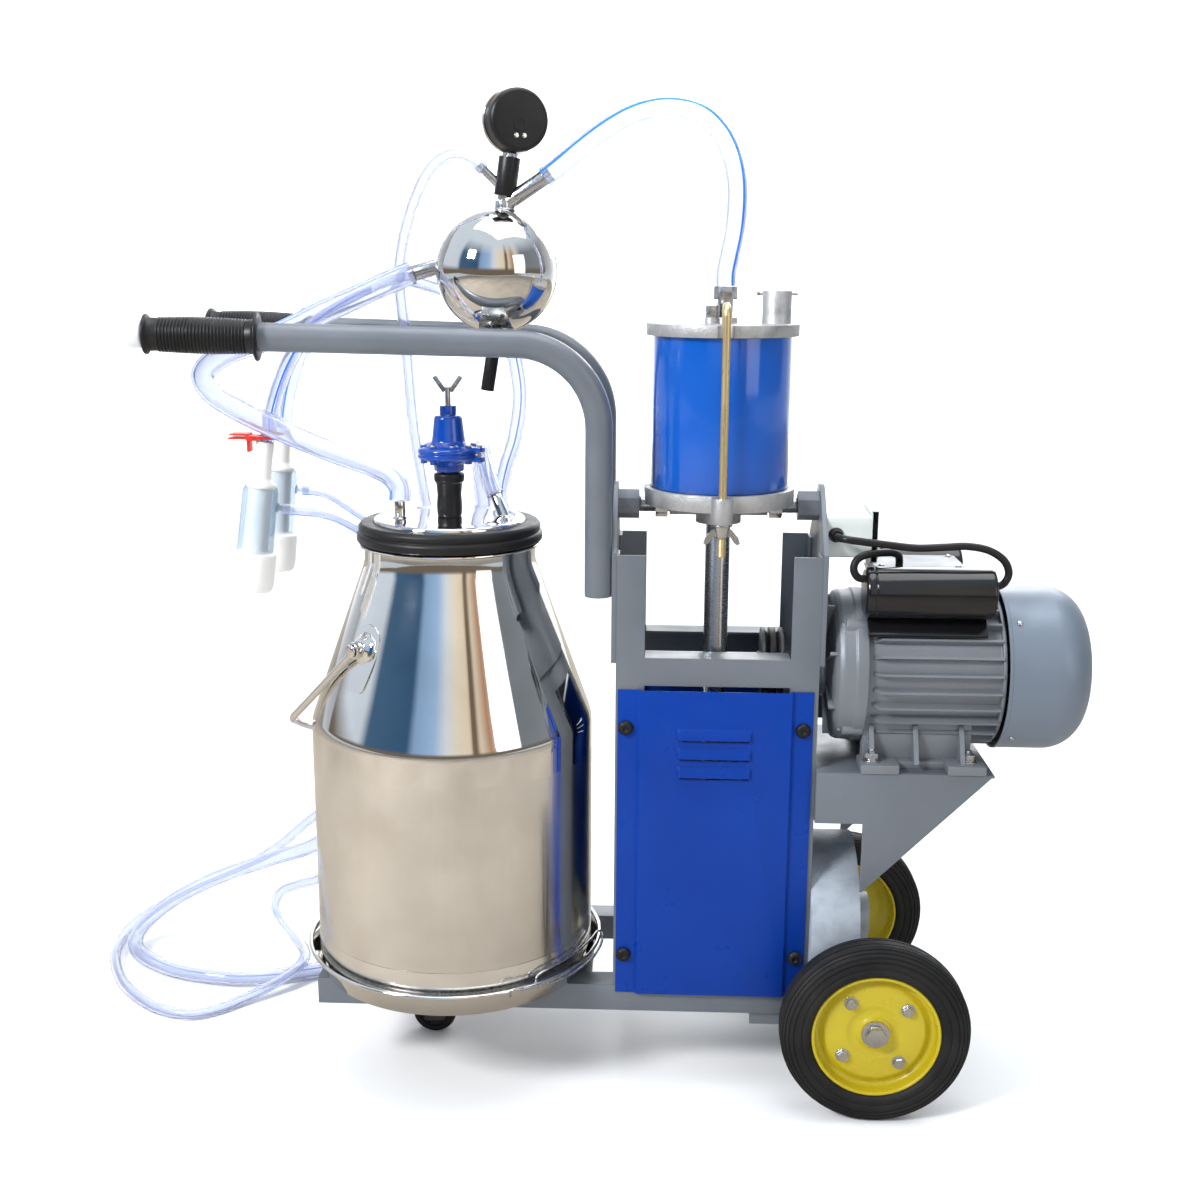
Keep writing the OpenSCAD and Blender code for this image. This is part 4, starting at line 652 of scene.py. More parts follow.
def make_gauge():
    """Black case seen from its back; the dial faces away and has plain ticks."""
    turn = Matrix.Rotation(math.radians(25), 4, "Z") @ Matrix.Rotation(math.radians(-90), 4, "X")
    place = Matrix.Translation(at_tower(*GAUGE_AT)) @ turn
    r = 0.031
    bm = bmesh.new()
    add_lathe(bm, rounded([(0, -0.013), (r - 0.003, -0.013), (r, -0.010), (r, 0.0065), (r - 0.0035, 0.0070),
                           (r - 0.0035, 0.0062), (0, 0.0062)], 0.0015), place, 96)
    stem = (at_tower(-0.1129, 0, 0.9965), at_tower(-0.112, 0, 1.000))
    add_rod(bm, stem[0], stem[1], 0.006, 0.0004)
    add_lathe(bm, rounded([(0.004, 0), (0.0075, 0), (0.0075, 0.0006), (0.004, 0.0006)], 0.0002),
              place @ Matrix.Translation((0, 0.004, -0.0136)), 32)
    stands_for(made("gauge_back", bm, M["black"], "frame"), "gauge_case")
    bm = bmesh.new()
    add_lathe(bm, rounded([(r - 0.004, 0.0068), (r + 0.0015, 0.0068), (r + 0.0015, 0.012), (r, 0.013),
                           (r - 0.004, 0.013), (r - 0.004, 0.0112)], 0.0006), place, 96)
    for dx in (-0.0042, 0.0042):
        head = place @ Matrix.Translation((dx, 0.0155, -0.013)) @ Matrix.Rotation(math.pi, 4, "X")
        add_lathe(bm, rounded([(0, 0), (0.0026, 0), (0.0024, 0.0010), (0, 0.0013)], 0.0003), head, 24)
        add_box(bm, (-0.0018, -0.0003, 0.0011), (0.0018, 0.0003, 0.0015), 0, head)
        add_box(bm, (-0.0003, -0.0018, 0.0011), (0.0003, 0.0018, 0.0015), 0, head)
    stands_for(made("gauge_bezel", bm, M["polished"], "frame"), "gauge_case")
    bm = bmesh.new()
    add_lathe(bm, [(0.0018, 0.0064), (r - 0.0037, 0.0064), (r - 0.0037, 0.0072), (0.0018, 0.0072)], place, 96)
    stands_for(made("gauge_dial", bm, M["dial"], "frame"), "gauge_case")
    bm = bmesh.new()
    for k in range(31):
        angle = math.radians(-135 + 9 * k)
        long = 0.005 if k % 5 == 0 else 0.0028
        spoke = place @ Matrix.Rotation(angle, 4, "Z")
        add_box(bm, (0.0245 - long, -0.0002, 0.0072), (0.0245, 0.0002, 0.0074), 0, spoke)
    stands_for(made("gauge_ticks", bm, M["black"], "frame"), "gauge_case")
    bm = bmesh.new()
    add_lathe(bm, rounded([(0, 0.0112), (r - 0.0042, 0.0112), (r - 0.0042, 0.0124), (0, 0.0124)], 0.0003), place, 64)
    stands_for(made("gauge_glass", bm, M["glass"], "frame"), "gauge_case")


make_tank()
make_gauge()

# ------------------------------------------------------------------ handles

HANDLE_BEND = 0.085
HANDLE_TURN = math.radians(88.7)
ARM_L = 0.363
GRIP_L = 0.110


def arm_place(side):
    """+Z runs out along one handle's arm, from the end of its bend."""
    leg = Matrix.Translation(at_tower(-0.019, side * 0.067, 0)) @ Matrix.Rotation(math.radians(-side * 5.3), 4, "Z")
    bend = Matrix.Translation((-HANDLE_BEND + HANDLE_BEND * math.cos(HANDLE_TURN), 0,
                               0.725 + HANDLE_BEND * math.sin(HANDLE_TURN)))
    return leg @ bend @ Matrix.Rotation(-HANDLE_TURN, 4, "Y"), leg


def make_handle(side, name):
    arm, leg = arm_place(side)
    line = [leg @ Vector((0, 0, z)) for z in (0.554, 0.560, 0.64, 0.700)]
    line += [leg @ Vector((-HANDLE_BEND + HANDLE_BEND * math.cos(a), 0, 0.725 + HANDLE_BEND * math.sin(a)))
             for a in (HANDLE_TURN * k / 24 for k in range(25))]
    line += [arm @ Vector((0, 0, z)) for z in (0.03, 0.12, 0.25, ARM_L)]
    bm = bmesh.new()
    add_tube(bm, line, 0.014, 0.0122, 48)
    stands_for(made(name + "_tube", bm, M["frame"], "frame", 50), name)


def make_grips():
    ribs, pitch = 26, 0.0033
    for side, name in ((-1, "near"), (1, "far")):
        arm, _ = arm_place(side)
        place = arm @ Matrix.Translation((0, 0, ARM_L - GRIP_L - 0.002))
        profile = [(0.0141, 0), (0.0228, 0), (0.0235, 0.0008), (0.0235, 0.0022), (0.0228, 0.0030), (0.0185, 0.0038)]
        profile += [(0.0168, 0.0060), (0.0163, 0.0110)]
        for k in range(ribs):
            z = 0.0120 + pitch * k
            r = 0.0158 + 0.0012 * math.sin(math.pi * k / (ribs - 1))
            profile += [(r, z), (r + 0.0010, z + 0.0005), (r + 0.0011, z + 0.0011), (r + 0.0010, z + 0.0017),
                        (r, z + 0.0022)]
        profile += [(0.0160, GRIP_L - 0.0100), (0.0162, GRIP_L - 0.0050), (0.0180, GRIP_L - 0.0034),
                    (0.0192, GRIP_L - 0.0026), (0.0195, GRIP_L - 0.0008), (0.0190, GRIP_L), (0.0141, GRIP_L)]
        stands_for(lathe(name + "_grip", profile, place, M["rubber"], "frame", 72, 60), "handle_grips")
        end = arm @ Matrix.Translation((0, 0, ARM_L))
        cap = rounded([(0, 0), (0.0135, 0), (0.0140, 0.010), (0.0135, 0.014), (0.0100, 0.019), (0, 0.0195)], 0.002, 4)
        stands_for(lathe(name + "_plug", cap, end, M["plug"], "frame", 64, 60), "handle_grips")


make_handle(-1, "near_handle")
make_handle(1, "far_handle")
make_grips()

# ------------------------------------------------------------------ bucket, lid and regulator

NECK_R, NECK_Z = 0.091, 0.578
BUCKET_R, BUCKET_Z, BUCKET_TOP = 0.153, 0.1265, 0.598
EAR_Z = 0.500
BUCKET_PLACE = Matrix.Translation(at_tower(BUCKET_X, 0, 0))
EAR_TURN = Matrix.Translation((0, 0, EAR_Z)) @ Matrix.Rotation(math.radians(49), 4, "Z")


def wall_r(z):
    return NECK_R + (BUCKET_R - NECK_R) * (NECK_Z - z) / (NECK_Z - SHOULDER_Z)


def make_bucket():
    w, foot = 0.0015, BUCKET_R - 0.008
    profile = [(0, BUCKET_Z + 0.004), (foot - 0.014, BUCKET_Z + 0.004), (foot - 0.008, BUCKET_Z), (foot, BUCKET_Z)]
    profile += [(BUCKET_R - 0.002, BUCKET_Z + 0.010), (BUCKET_R, BUCKET_Z + 0.016), (BUCKET_R, 0.144)]
    for z in (0.146, 0.168):
        profile += [(BUCKET_R - 0.0009, z), (BUCKET_R - 0.0009, z + 0.0008), (BUCKET_R, z + 0.002)]
        profile += [(BUCKET_R, z + 0.019)]
    profile += [(BUCKET_R, 0.300)]
    profile += [(BUCKET_R, SHOULDER_Z - 0.008), (BUCKET_R - 0.0006, SHOULDER_Z), (wall_r(0.412), 0.412)]
    profile += [(wall_r(0.45), 0.45), (wall_r(0.50), 0.50), (wall_r(0.55), 0.55), (wall_r(0.572), 0.572)]
    profile += [(NECK_R, NECK_Z + 0.002), (NECK_R, BUCKET_TOP - 0.0035), (NECK_R + 0.005, BUCKET_TOP - 0.003)]
    profile += arc(NECK_R + 0.0045, BUCKET_TOP - 0.0015, 0.0015, -80, 90, 6)
    profile += [(NECK_R - w, BUCKET_TOP), (NECK_R - w, NECK_Z), (BUCKET_R - w, SHOULDER_Z - 0.0005)]
    profile += [(BUCKET_R - w, BUCKET_Z + 0.017), (foot - 0.001, BUCKET_Z + 0.0055), (0, BUCKET_Z + 0.0055)]
    shell = lathe("bucket_shell", profile, BUCKET_PLACE, M["bucket"], "frame", 192, 28)
    stands_for(shell, "bucket")
    bm = bmesh.new()
    for side in (0, math.pi):
        turn = BUCKET_PLACE @ EAR_TURN @ Matrix.Rotation(side, 4, "Z")
        pad_x = wall_r(EAR_Z) - 0.0005
        tilt = turn @ Matrix.Translation((pad_x, 0, 0)) @ Matrix.Rotation(math.radians(70.3), 4, "Y")
        add_ear_plate(bm, turn)
        boss = [(0, -0.004), (0.0175, -0.004), (0.0170, 0.0020), (0.0125, 0.0042), (0.0080, 0.0085), (0, 0.0085)]
        add_lathe(bm, rounded(boss, 0.0012), tilt, 64)
        out = Vector((1, 0, 0))
        add_rod(bm, turn @ Vector((pad_x, 0, 0)), turn @ Vector((0.136, 0, 0)), 0.0039, 0.0004)
        add_lathe(bm, rounded([(0, 0), (0.007, 0), (0.007, 0.0022), (0.004, 0.003), (0, 0.003)], 0.0006),
                  turn @ facing((0.136, 0, 0), out), 32)
    stands_for(made("bucket_ears", bm, M["polished"], "frame"), "bucket")


def add_ear_plate(bm, turn):
    """Shield-shaped plate that lies on the cone, centred on the ear's pin."""
    rows, columns, lift = 22, 10, 0.0014
    top, bottom, half = 0.026, -0.046, 0.0205
    outer, skirt = [], []
    for i in range(rows + 1):
        v = bottom + (top - bottom) * i / rows
        if v > top - half:
            w = math.sqrt(max(half ** 2 - (v - top + half) ** 2, 1e-7))
        else:
            w = half - 0.0075 * ((top - half - v) / (top - half - bottom)) ** 2
        if i == 0:
            w -= 0.003
        z = v * 0.9413
        r = wall_r(EAR_Z + z)
        for ring, out in ((outer, lift), (skirt, -0.001)):
            ring.append([bm.verts.new(turn @ Vector(((r + out) * math.cos(s), (r + out) * math.sin(s), z)))
                         for s in (w * (2 * k / columns - 1) / r for k in range(columns + 1))])
    for a, b in zip(outer, outer[1:]):
        for k in range(columns):
            bm.faces.new([a[k], a[k + 1], b[k + 1], b[k]])
    for a, b in ((0, 1), (rows, -1)):
        for k in range(columns):
            bm.faces.new([skirt[a][k], skirt[a][k + 1], outer[a][k + 1], outer[a][k]][::b])
    for i in range(rows):
        for k, b in ((0, 1), (columns, -1)):
            bm.faces.new([skirt[i + 1][k], skirt[i][k], outer[i][k], outer[i + 1][k]][::b])


def make_bail():
    """Bent rod in its own plane, hanging from the ears."""
    eye_x, arm, bend, grip_half, grip_y = 0.1305, 0.145, 0.020, 0.060, 0.2135
    plane = BUCKET_PLACE @ EAR_TURN @ Matrix.Rotation(math.radians(-40), 4, "X")
    half = [(eye_x, 0.0085, 0), (eye_x, 0.05, 0), (eye_x, 0.10, 0), (eye_x, arm, 0)]
    half += [(eye_x - bend + bend * math.cos(a), arm + bend * math.sin(a), 0)
             for a in (math.radians(5 * k) for k in range(1, 11))]
    half += [(0.1, 0.1815, 0), (0.08, 0.1974, 0), (grip_half + 0.004, 0.2100, 0), (grip_half - 0.002, 0.2128, 0)]
    wire = half + [(0, grip_y, 0)] + [(-x, y, z) for x, y, z in reversed(half)]
    bm = bmesh.new()
    add_tube(bm, [plane @ Vector(p) for p in wire], 0.004, 0, 24)
    for side in (-1, 1):
        ring = [(0.0042, -0.0045), (0.0090, -0.0045), (0.0090, 0.0045), (0.0042, 0.0045)]
        add_lathe(bm, rounded(ring, 0.0012), plane @ facing((side * eye_x, 0, 0), (1, 0, 0)), 40)
    grip = [(0.0041, -0.063), (0.0062, -0.063), (0.0070, -0.060), (0.0070, 0.060), (0.0062, 0.063), (0.0041, 0.063)]
    add_lathe(bm, rounded(grip, 0.001), plane @ facing((0, grip_y, 0), (1, 0, 0)), 40)
    stands_for(made("bail_rod", bm, M["polished"], "bail", 50), "bail")


def make_tray():
    rim, rim_z, floor_z = 0.165, 0.149, 0.120
    profile = [(0, floor_z + 0.002), (0.098, floor_z + 0.002), (0.100, BUCKET_Z + 0.0036), (0.104, BUCKET_Z + 0.0036)]
    profile += [(0.106, floor_z + 0.002), (0.148, floor_z + 0.0021), (rim - 0.0035, rim_z - 0.006)]
    profile += arc(rim - 0.0020, rim_z - 0.0022, 0.0021, 180, -90, 14)
    profile += [(rim - 0.0035, rim_z - 0.0070), (0.151, floor_z + 0.0008), (0.150, floor_z), (0, floor_z)]
    stands_for(lathe("tray_dish", profile, BUCKET_PLACE, M["polished"], "frame", 160, 30), "tray")
    bm = bmesh.new()
    grip = []
    for degrees, r, z in ((-62, 0.160, 0.140), (-63, 0.1665, 0.147), (-62, 0.1690, 0.1515), (-58, 0.1695, 0.1500),
                          (-48, 0.1700, 0.1475), (-36, 0.1705, 0.1465), (-24, 0.1705, 0.1470), (-14, 0.1700, 0.1490),
                          (-8, 0.1690, 0.1525), (-6, 0.1665, 0.1560), (-8, 0.1625, 0.1580), (-16, 0.1605, 0.1585),
                          (-30, 0.1600, 0.1590), (-44, 0.1600, 0.1580), (-50, 0.1600, 0.1550), (-51, 0.1605, 0.1490),
                          (-50, 0.1600, 0.1400)):
        a = math.radians(degrees)
        grip.append(BUCKET_PLACE @ Vector((r * math.cos(a), r * math.sin(a), z)))
    add_tube(bm, smooth_route(grip, 6), 0.0014, 0, 14)
    stands_for(made("tray_wire", bm, M["zinc"], "frame", 60), "tray")


LID_Z, LID_TOP = 0.601, 0.624


def make_lid():
    r = 0.081
    bm = bmesh.new()
    profile = [(0, LID_TOP - 0.002), (0, LID_TOP + 0.0004), (0.030, LID_TOP + 0.0004), (0.034, LID_TOP)]
    profile += [(0.060, LID_TOP - 0.0002), (0.066, LID_TOP - 0.0012), (0.070, LID_TOP - 0.0002), (r - 0.005, LID_TOP)]
    profile += arc(r - 0.004, LID_TOP - 0.004, 0.004, 80, 10, 6)
    profile += [(r, LID_Z), (r - 0.0018, LID_Z), (r - 0.002, LID_TOP - 0.004), (r - 0.004, LID_TOP - 0.002)]
    add_lathe(bm, profile, BUCKET_PLACE, 160)
    for foot, top in (((-0.051, -0.012, LID_TOP - 0.001), (-0.0513, -0.012, 0.642)),
                      ((0.0575, 0.0085, LID_TOP - 0.002), (0.0467, 0.019, 0.645))):
        foot, top = BUCKET_PLACE @ Vector(foot), BUCKET_PLACE @ Vector(top)
        add_pipe(bm, foot, top, 0.006, 0.0042)
        add_lathe(bm, rounded([(0.0055, 0), (0.0095, 0.0006), (0.0068, 0.0030), (0.0055, 0.0030)], 0.0008),
                  facing(foot, (0, 0, 1)), 40)
    stands_for(made("lid_plate", bm, M["polished"], "lid", 30), "lid")


def make_gasket():
    z = LID_Z
    profile = [(0.0812, z - 0.002), (0.0965, z - 0.002), (0.0988, z), (0.0990, z + 0.006), (0.0975, z + 0.0085)]
    profile += [(0.0958, z + 0.0090), (0.0962, z + 0.0105), (0.0970, z + 0.0120), (0.0968, z + 0.0155)]
    profile += [(0.0940, z + 0.0190), (0.0812, z + 0.0190)]
    ring = lathe("lid_gasket_ring", rounded(profile, 0.0012), BUCKET_PLACE, M["rubber"], "lid", 128, 40)
    stands_for(ring, "lid_gasket")


def make_regulator():
    """Pressure regulator: ribbed black stem, blue bell on a clamped disc, screws round the flange."""
    top = LID_TOP
    bm = bmesh.new()
    stem = [(0, top), (0.0124, top), (0.0132, top + 0.003), (0.0136, top + 0.012), (0.0128, top + 0.024)]
    stem += [(0.0138, top + 0.036), (0.0160, top + 0.0385), (0.0163, top + 0.0445), (0.0155, top + 0.0465)]
    stem += [(0.0105, top + 0.0475), (0, top + 0.0475)]
    add_lathe(bm, rounded(stem, 0.0014), BUCKET_PLACE, 72)
    stands_for(made("regulator_stem", bm, M["black"], "lid"), "regulator")
    bm = bmesh.new()
    neck = [(0, top + 0.0462), (0.0090, top + 0.0462), (0.0090, top + 0.0490), (0, top + 0.0490)]
    add_lathe(bm, neck, BUCKET_PLACE, 48)
    add_lathe(bm, rounded([(0, top + 0.0488), (0.0158, top + 0.0488), (0.0162, top + 0.0560), (0, top + 0.0560)], 0.001),
              BUCKET_PLACE, 8)
    body = [(0, top + 0.0555), (0.0175, top + 0.0560), (0.0225, top + 0.0590), (0.0312, top + 0.0625)]
    body += [(0.0328, top + 0.0640), (0.0330, top + 0.0668), (0.0318, top + 0.0674), (0.0318, top + 0.0686)]
    body += [(0.0330, top + 0.0692), (0.0328, top + 0.0722), (0.0312, top + 0.0738), (0.0245, top + 0.0762)]
    body += [(0.0205, top + 0.0785), (0.0180, top + 0.0805), (0.0172, top + 0.086), (0.0150, top + 0.1050)]
    body += [(0.0135, top + 0.1075), (0.0092, top + 0.1082), (0.0088, top + 0.1090), (0.0088, top + 0.1180)]
    body += [(0.0032, top + 0.1180), (0.0032, top + 0.100), (0, top + 0.100)]
    add_lathe(bm, rounded(body, 0.0008, 2), BUCKET_PLACE, 96)
    for k in range(8):
        turn = BUCKET_PLACE @ Matrix.Rotation(math.radians(45 * k + 15), 4, "Z")
        add_rod(bm, turn @ Vector((0.0262, 0, top + 0.0575)), turn @ Vector((0.0262, 0, top + 0.0765)), 0.0036)
    lug = BUCKET_PLACE @ Matrix.Rotation(math.radians(-20), 4, "Z")
    add_box(bm, (0.0290, -0.0055, top + 0.0600), (0.0405, 0.0055, top + 0.0655), 0.001, lug)
    add_box(bm, (0.0290, -0.0055, top + 0.0705), (0.0405, 0.0055, top + 0.0755), 0.001, lug)
    stands_for(made("regulator_body", bm, M["blue_gloss"], "lid"), "regulator")
    bm = bmesh.new()
    for k in range(8):
        turn = BUCKET_PLACE @ Matrix.Rotation(math.radians(45 * k + 15), 4, "Z")
        add_lathe(bm, rounded([(0, 0), (0.0030, 0), (0.0027, 0.0014), (0, 0.0018)], 0.0003),
                  turn @ Matrix.Translation((0.0262, 0, top + 0.0765)), 20)
    add_rod(bm, lug @ Vector((0.0365, 0, top + 0.0585)), lug @ Vector((0.0365, 0, top + 0.0775)), 0.0018)
    add_hex(bm, lug @ Matrix.Translation((0.0365, 0, top + 0.0755)), 0.0055, 0.0026, 0.0003)
    stands_for(made("regulator_screws", bm, M["zinc"], "lid"), "regulator")


make_bucket()
make_bail()
make_tray()
make_lid()
make_gasket()
make_regulator()

# ------------------------------------------------------------------ wheels

TYRE_R, RIM_R, TYRE_W = 0.100, 0.068, 0.042


def wheel_place(side, y):
    """+Z points to the outer side of a wheel that turns on the Y axis."""
    out = -1 if side == "near" else 1
    return facing(at_tower(AXLE_X, y, TYRE_R), (0, out, 0), 0 if side == "near" else math.pi)


def make_tyre(side, y):
    half = TYRE_W / 2
    out = [(RIM_R, half - 0.004), (RIM_R + 0.002, half - 0.001), (RIM_R + 0.005, half), (RIM_R + 0.009, half)]
    out += [(RIM_R + 0.010, half - 0.0008), (RIM_R + 0.011, half), (RIM_R + 0.013, half)]
    edge_r, edge_z = RIM_R + 0.014, half
    for k in range(5):
        a, b = k / 5, (k + 0.55) / 5
        for t, dip in ((a, 0), (b, 0), (b + 0.02, 0.0011), ((k + 1) / 5 - 0.02, 0.0011)):
            turn = math.radians(90 * t)
            rr = edge_r + 0.016 * math.sin(turn) + 0.0015 * t
            zz = edge_z - 0.011 * (1 - math.cos(turn))
            out.append((min(rr, TYRE_R) - dip * math.sin(turn), zz - dip * math.cos(turn)))
    out += [(TYRE_R, half - 0.0125), (TYRE_R, 0.0060), (TYRE_R - 0.0018, 0.0055), (TYRE_R - 0.0018, 0.0042),
            (TYRE_R, 0.0037)]
    profile = out + [(r, -z) for r, z in reversed(out)]
    piece = lathe(side + "_tyre_rubber", profile[::-1], wheel_place(side, y), M["tyre"], side + "_wheel", 160, 40)
    stands_for(piece, side + "_tyre")


def make_rim(side, y):
    place = wheel_place(side, y)
    bore, hub, half = 0.01005, 0.018, TYRE_W / 2 - 0.003
    barrel = RIM_R - 0.0025
    profile = [(bore, -0.0105), (hub, -0.0105), (hub, 0.002), (0.030, 0.004), (0.050, 0.004)]
    profile += [(barrel - 0.004, -0.003), (barrel, -half + 0.002), (barrel - 0.0005, -half), (RIM_R, -half)]
    profile += [(RIM_R, half), (barrel - 0.001, half), (barrel - 0.0015, half - 0.004), (barrel - 0.002, 0.006)]
    profile += [(barrel - 0.005, 0.003), (0.057, 0.0042), (0.052, 0.0080), (0.030, 0.0080), (0.026, 0.0065)]
    profile += [(0.0215, 0.0065), (hub, 0.0080), (hub - 0.001, 0.0105), (bore, 0.0105)]
    stands_for(lathe(side + "_rim_disc", rounded(profile, 0.0018, 3), place, M["yellow"], side + "_wheel", 128, 45),
               side + "_rim")
    bm = bmesh.new()
    for k in range(4):
        a = math.radians(38.5 + 90 * k)
        at = place @ Matrix.Translation((0.0425 * math.cos(a), 0.0425 * math.sin(a), 0.0078))
        add_lathe(bm, rounded([(0, 0), (0.0075, 0), (0.0075, 0.0010), (0, 0.0010)], 0.0003), at, 32)
        add_hex(bm, at @ Matrix.Translation((0, 0, 0.0010)) @ Matrix.Rotation(a, 4, "Z"), 0.0110, 0.0042)
    stands_for(made(side + "_rim_bolts", bm, M["zinc"], side + "_wheel"), side + "_rim")


for wheel_side, wheel_y in (("near", -0.119), ("far", 0.181)):
    make_tyre(wheel_side, wheel_y)
    make_rim(wheel_side, wheel_y)


# ------------------------------------------------------------------ motor


MOTOR_AT = at_tower(0, 0, MOTOR_Z)
ALONG_X = facing(MOTOR_AT, (1, 0, 0))


def tapered_fin(bm, x0, x1, low, high, half_t, turn):
    """A cooling fin that thins towards its tip and slopes down at its left end."""
    place = Matrix.Translation(MOTOR_AT) @ Matrix.Rotation(turn, 4, "X")
    side = [(x0, low), (x0 + 0.010, high), (x1 - 0.001, high), (x1, low)]
    thin = half_t * 0.55
    near = [place @ Vector((x, -half_t if z == low else -thin, z)) for x, z in side]
    far = [place @ Vector((x, half_t if z == low else thin, z)) for x, z in side]
    a = [bm.verts.new(v) for v in near]
    b = [bm.verts.new(v) for v in far]
    for k in range(4):
        n = (k + 1) % 4
        bm.faces.new([a[k], a[n], b[n], b[k]])
    bm.faces.new(a[::-1])
    bm.faces.new(b)


def make_motor():
    core_x, back_x, shield_x, fins = 0.262, 0.402, 0.218, 28
    bm = bmesh.new()
    add_lathe(bm, rounded([(0, core_x - 0.002), (0.0745, core_x - 0.002), (0.0745, back_x - 0.004),
                           (0.0805, back_x - 0.004), (0.0805, back_x), (0, back_x)], 0.0012), ALONG_X, 128)
    for k in range(fins):
        tapered_fin(bm, core_x + 0.002, back_x - 0.003, 0.072, 0.084, 0.0022, math.radians(360 * k / fins + 6))
    stands_for(made("motor_stator", bm, M["motor"], "frame"), "motor_body")
    bm = bmesh.new()
    shield = [(0.0130, shield_x), (0.0335, shield_x), (0.0350, shield_x + 0.003), (0.0360, shield_x + 0.0045)]
    shield += [(0.0600, shield_x + 0.0078), (0.0730, shield_x + 0.0100), (0.0790, shield_x + 0.0135)]
    shield += [(0.0810, shield_x + 0.0180), (0.0815, shield_x + 0.0300), (0.0830, shield_x + 0.0315)]
    shield += [(0.0830, shield_x + 0.0430), (0.0130, shield_x + 0.0430)]
    add_lathe(bm, rounded(shield, 0.0012), ALONG_X, 128)
    for k in range(4):
        turn = Matrix.Translation(MOTOR_AT) @ Matrix.Rotation(math.radians(45 + 90 * k), 4, "X")
        lug = rounded([(0, 0), (0.0085, 0), (0.0085, 0.022), (0, 0.022)], 0.0015)
        add_lathe(bm, lug, turn @ facing((shield_x + 0.020, 0, 0.0770), (1, 0, 0)), 32)
    for k in range(8):
        turn = Matrix.Translation(MOTOR_AT) @ Matrix.Rotation(math.radians(22.5 + 45 * k), 4, "X")
        add_box(bm, (shield_x + 0.0035, -0.0018, 0.034), (shield_x + 0.0120, 0.0018, 0.076), 0.0008, turn)
    stands_for(made("motor_shield", bm, M["motor"], "frame"), "motor_body")
    bm = bmesh.new()
    for k in range(4):
        turn = Matrix.Translation(MOTOR_AT) @ Matrix.Rotation(math.radians(45 + 90 * k), 4, "X")
        add_hex(bm, turn @ facing((shield_x + 0.0200, 0, 0.0770), (-1, 0, 0)), 0.008, 0.0045)
    stands_for(made("motor_shield_bolts", bm, M["zinc"], "frame"), "motor_body")
    make_motor_feet()
    make_terminal_box()


def make_motor_feet():
    pad_z = 0.372
    bm = bmesh.new()
    for side in (-1, 1):
        for x in (0.256, 0.346):
            y0, y1 = sorted((side * 0.050, side * 0.086))
            add_box(bm, at_tower(x, y0, pad_z), at_tower(x + 0.040, y1, pad_z + 0.010), 0.0016)
        y0, y1 = sorted((side * 0.046, side * 0.0665))
        add_box(bm, at_tower(0.258, y0, pad_z), at_tower(0.384, y1, pad_z + 0.0085), 0.0016)
        y0, y1 = sorted((side * 0.044, side * 0.058))
        add_box(bm, at_tower(0.260, y0, pad_z + 0.004), at_tower(0.374, y1, pad_z + 0.056), 0.0016)
        for x in (0.266, 0.312, 0.360):
            rib = [(side * 0.057, pad_z + 0.0095), (side * 0.080, pad_z + 0.0095), (side * 0.060, pad_z + 0.046),
                   (side * 0.057, pad_z + 0.046)]
            place = Matrix.Translation(at_tower(x, 0, 0)) @ Matrix(((0, 0, 1, 0), (1, 0, 0, 0), (0, 1, 0, 0),
                                                                    (0, 0, 0, 1)))
            add_prism(bm, rib, 0.005, place)
    stands_for(made("motor_feet", bm, M["motor"], "frame"), "motor_body")


def make_terminal_box():
    x0, x1, half, low, top = 0.268, 0.364, 0.036, 0.536, 0.582
    bm = bmesh.new()
    add_box(bm, at_tower(x0, -half, low), at_tower(x1, half, top - 0.012), 0.002)
    add_box(bm, at_tower(x0, -half, top - 0.0095), at_tower(x1, half, top), 0.0025)
    stands_for(made("terminal_box", bm, M["motor"], "frame"), "motor_body")
    bm = bmesh.new()
    add_box(bm, at_tower(x0 - 0.0008, -half - 0.0008, top - 0.0122), at_tower(x1 + 0.0008, half + 0.0008, top - 0.0093),
            0.0004)
    stands_for(made("terminal_gasket", bm, M["gasket_beige"], "frame"), "motor_body")
    bm = bmesh.new()
    for x in (x0 + 0.008, x1 - 0.008):
        for y in (-half + 0.008, half - 0.008):
            add_screw(bm, facing(at_tower(x, y, top), (0, 0, 1)), 0.0032)
    stands_for(made("terminal_screws", bm, M["zinc"], "frame"), "motor_body")


def add_screw(bm, place, r):
    """Pan head with a cross recess, head along +Z."""
    add_lathe(bm, rounded([(0, 0), (r, 0), (r * 0.92, r * 0.40), (r * 0.5, r * 0.58), (0, r * 0.62)], r * 0.12), place, 28)
    for turn in (0, math.pi / 2):
        bar = place @ Matrix.Rotation(turn, 4, "Z")
        add_box(bm, (-r * 0.6, -r * 0.1, r * 0.5), (r * 0.6, r * 0.1, r * 0.68), 0, bar)


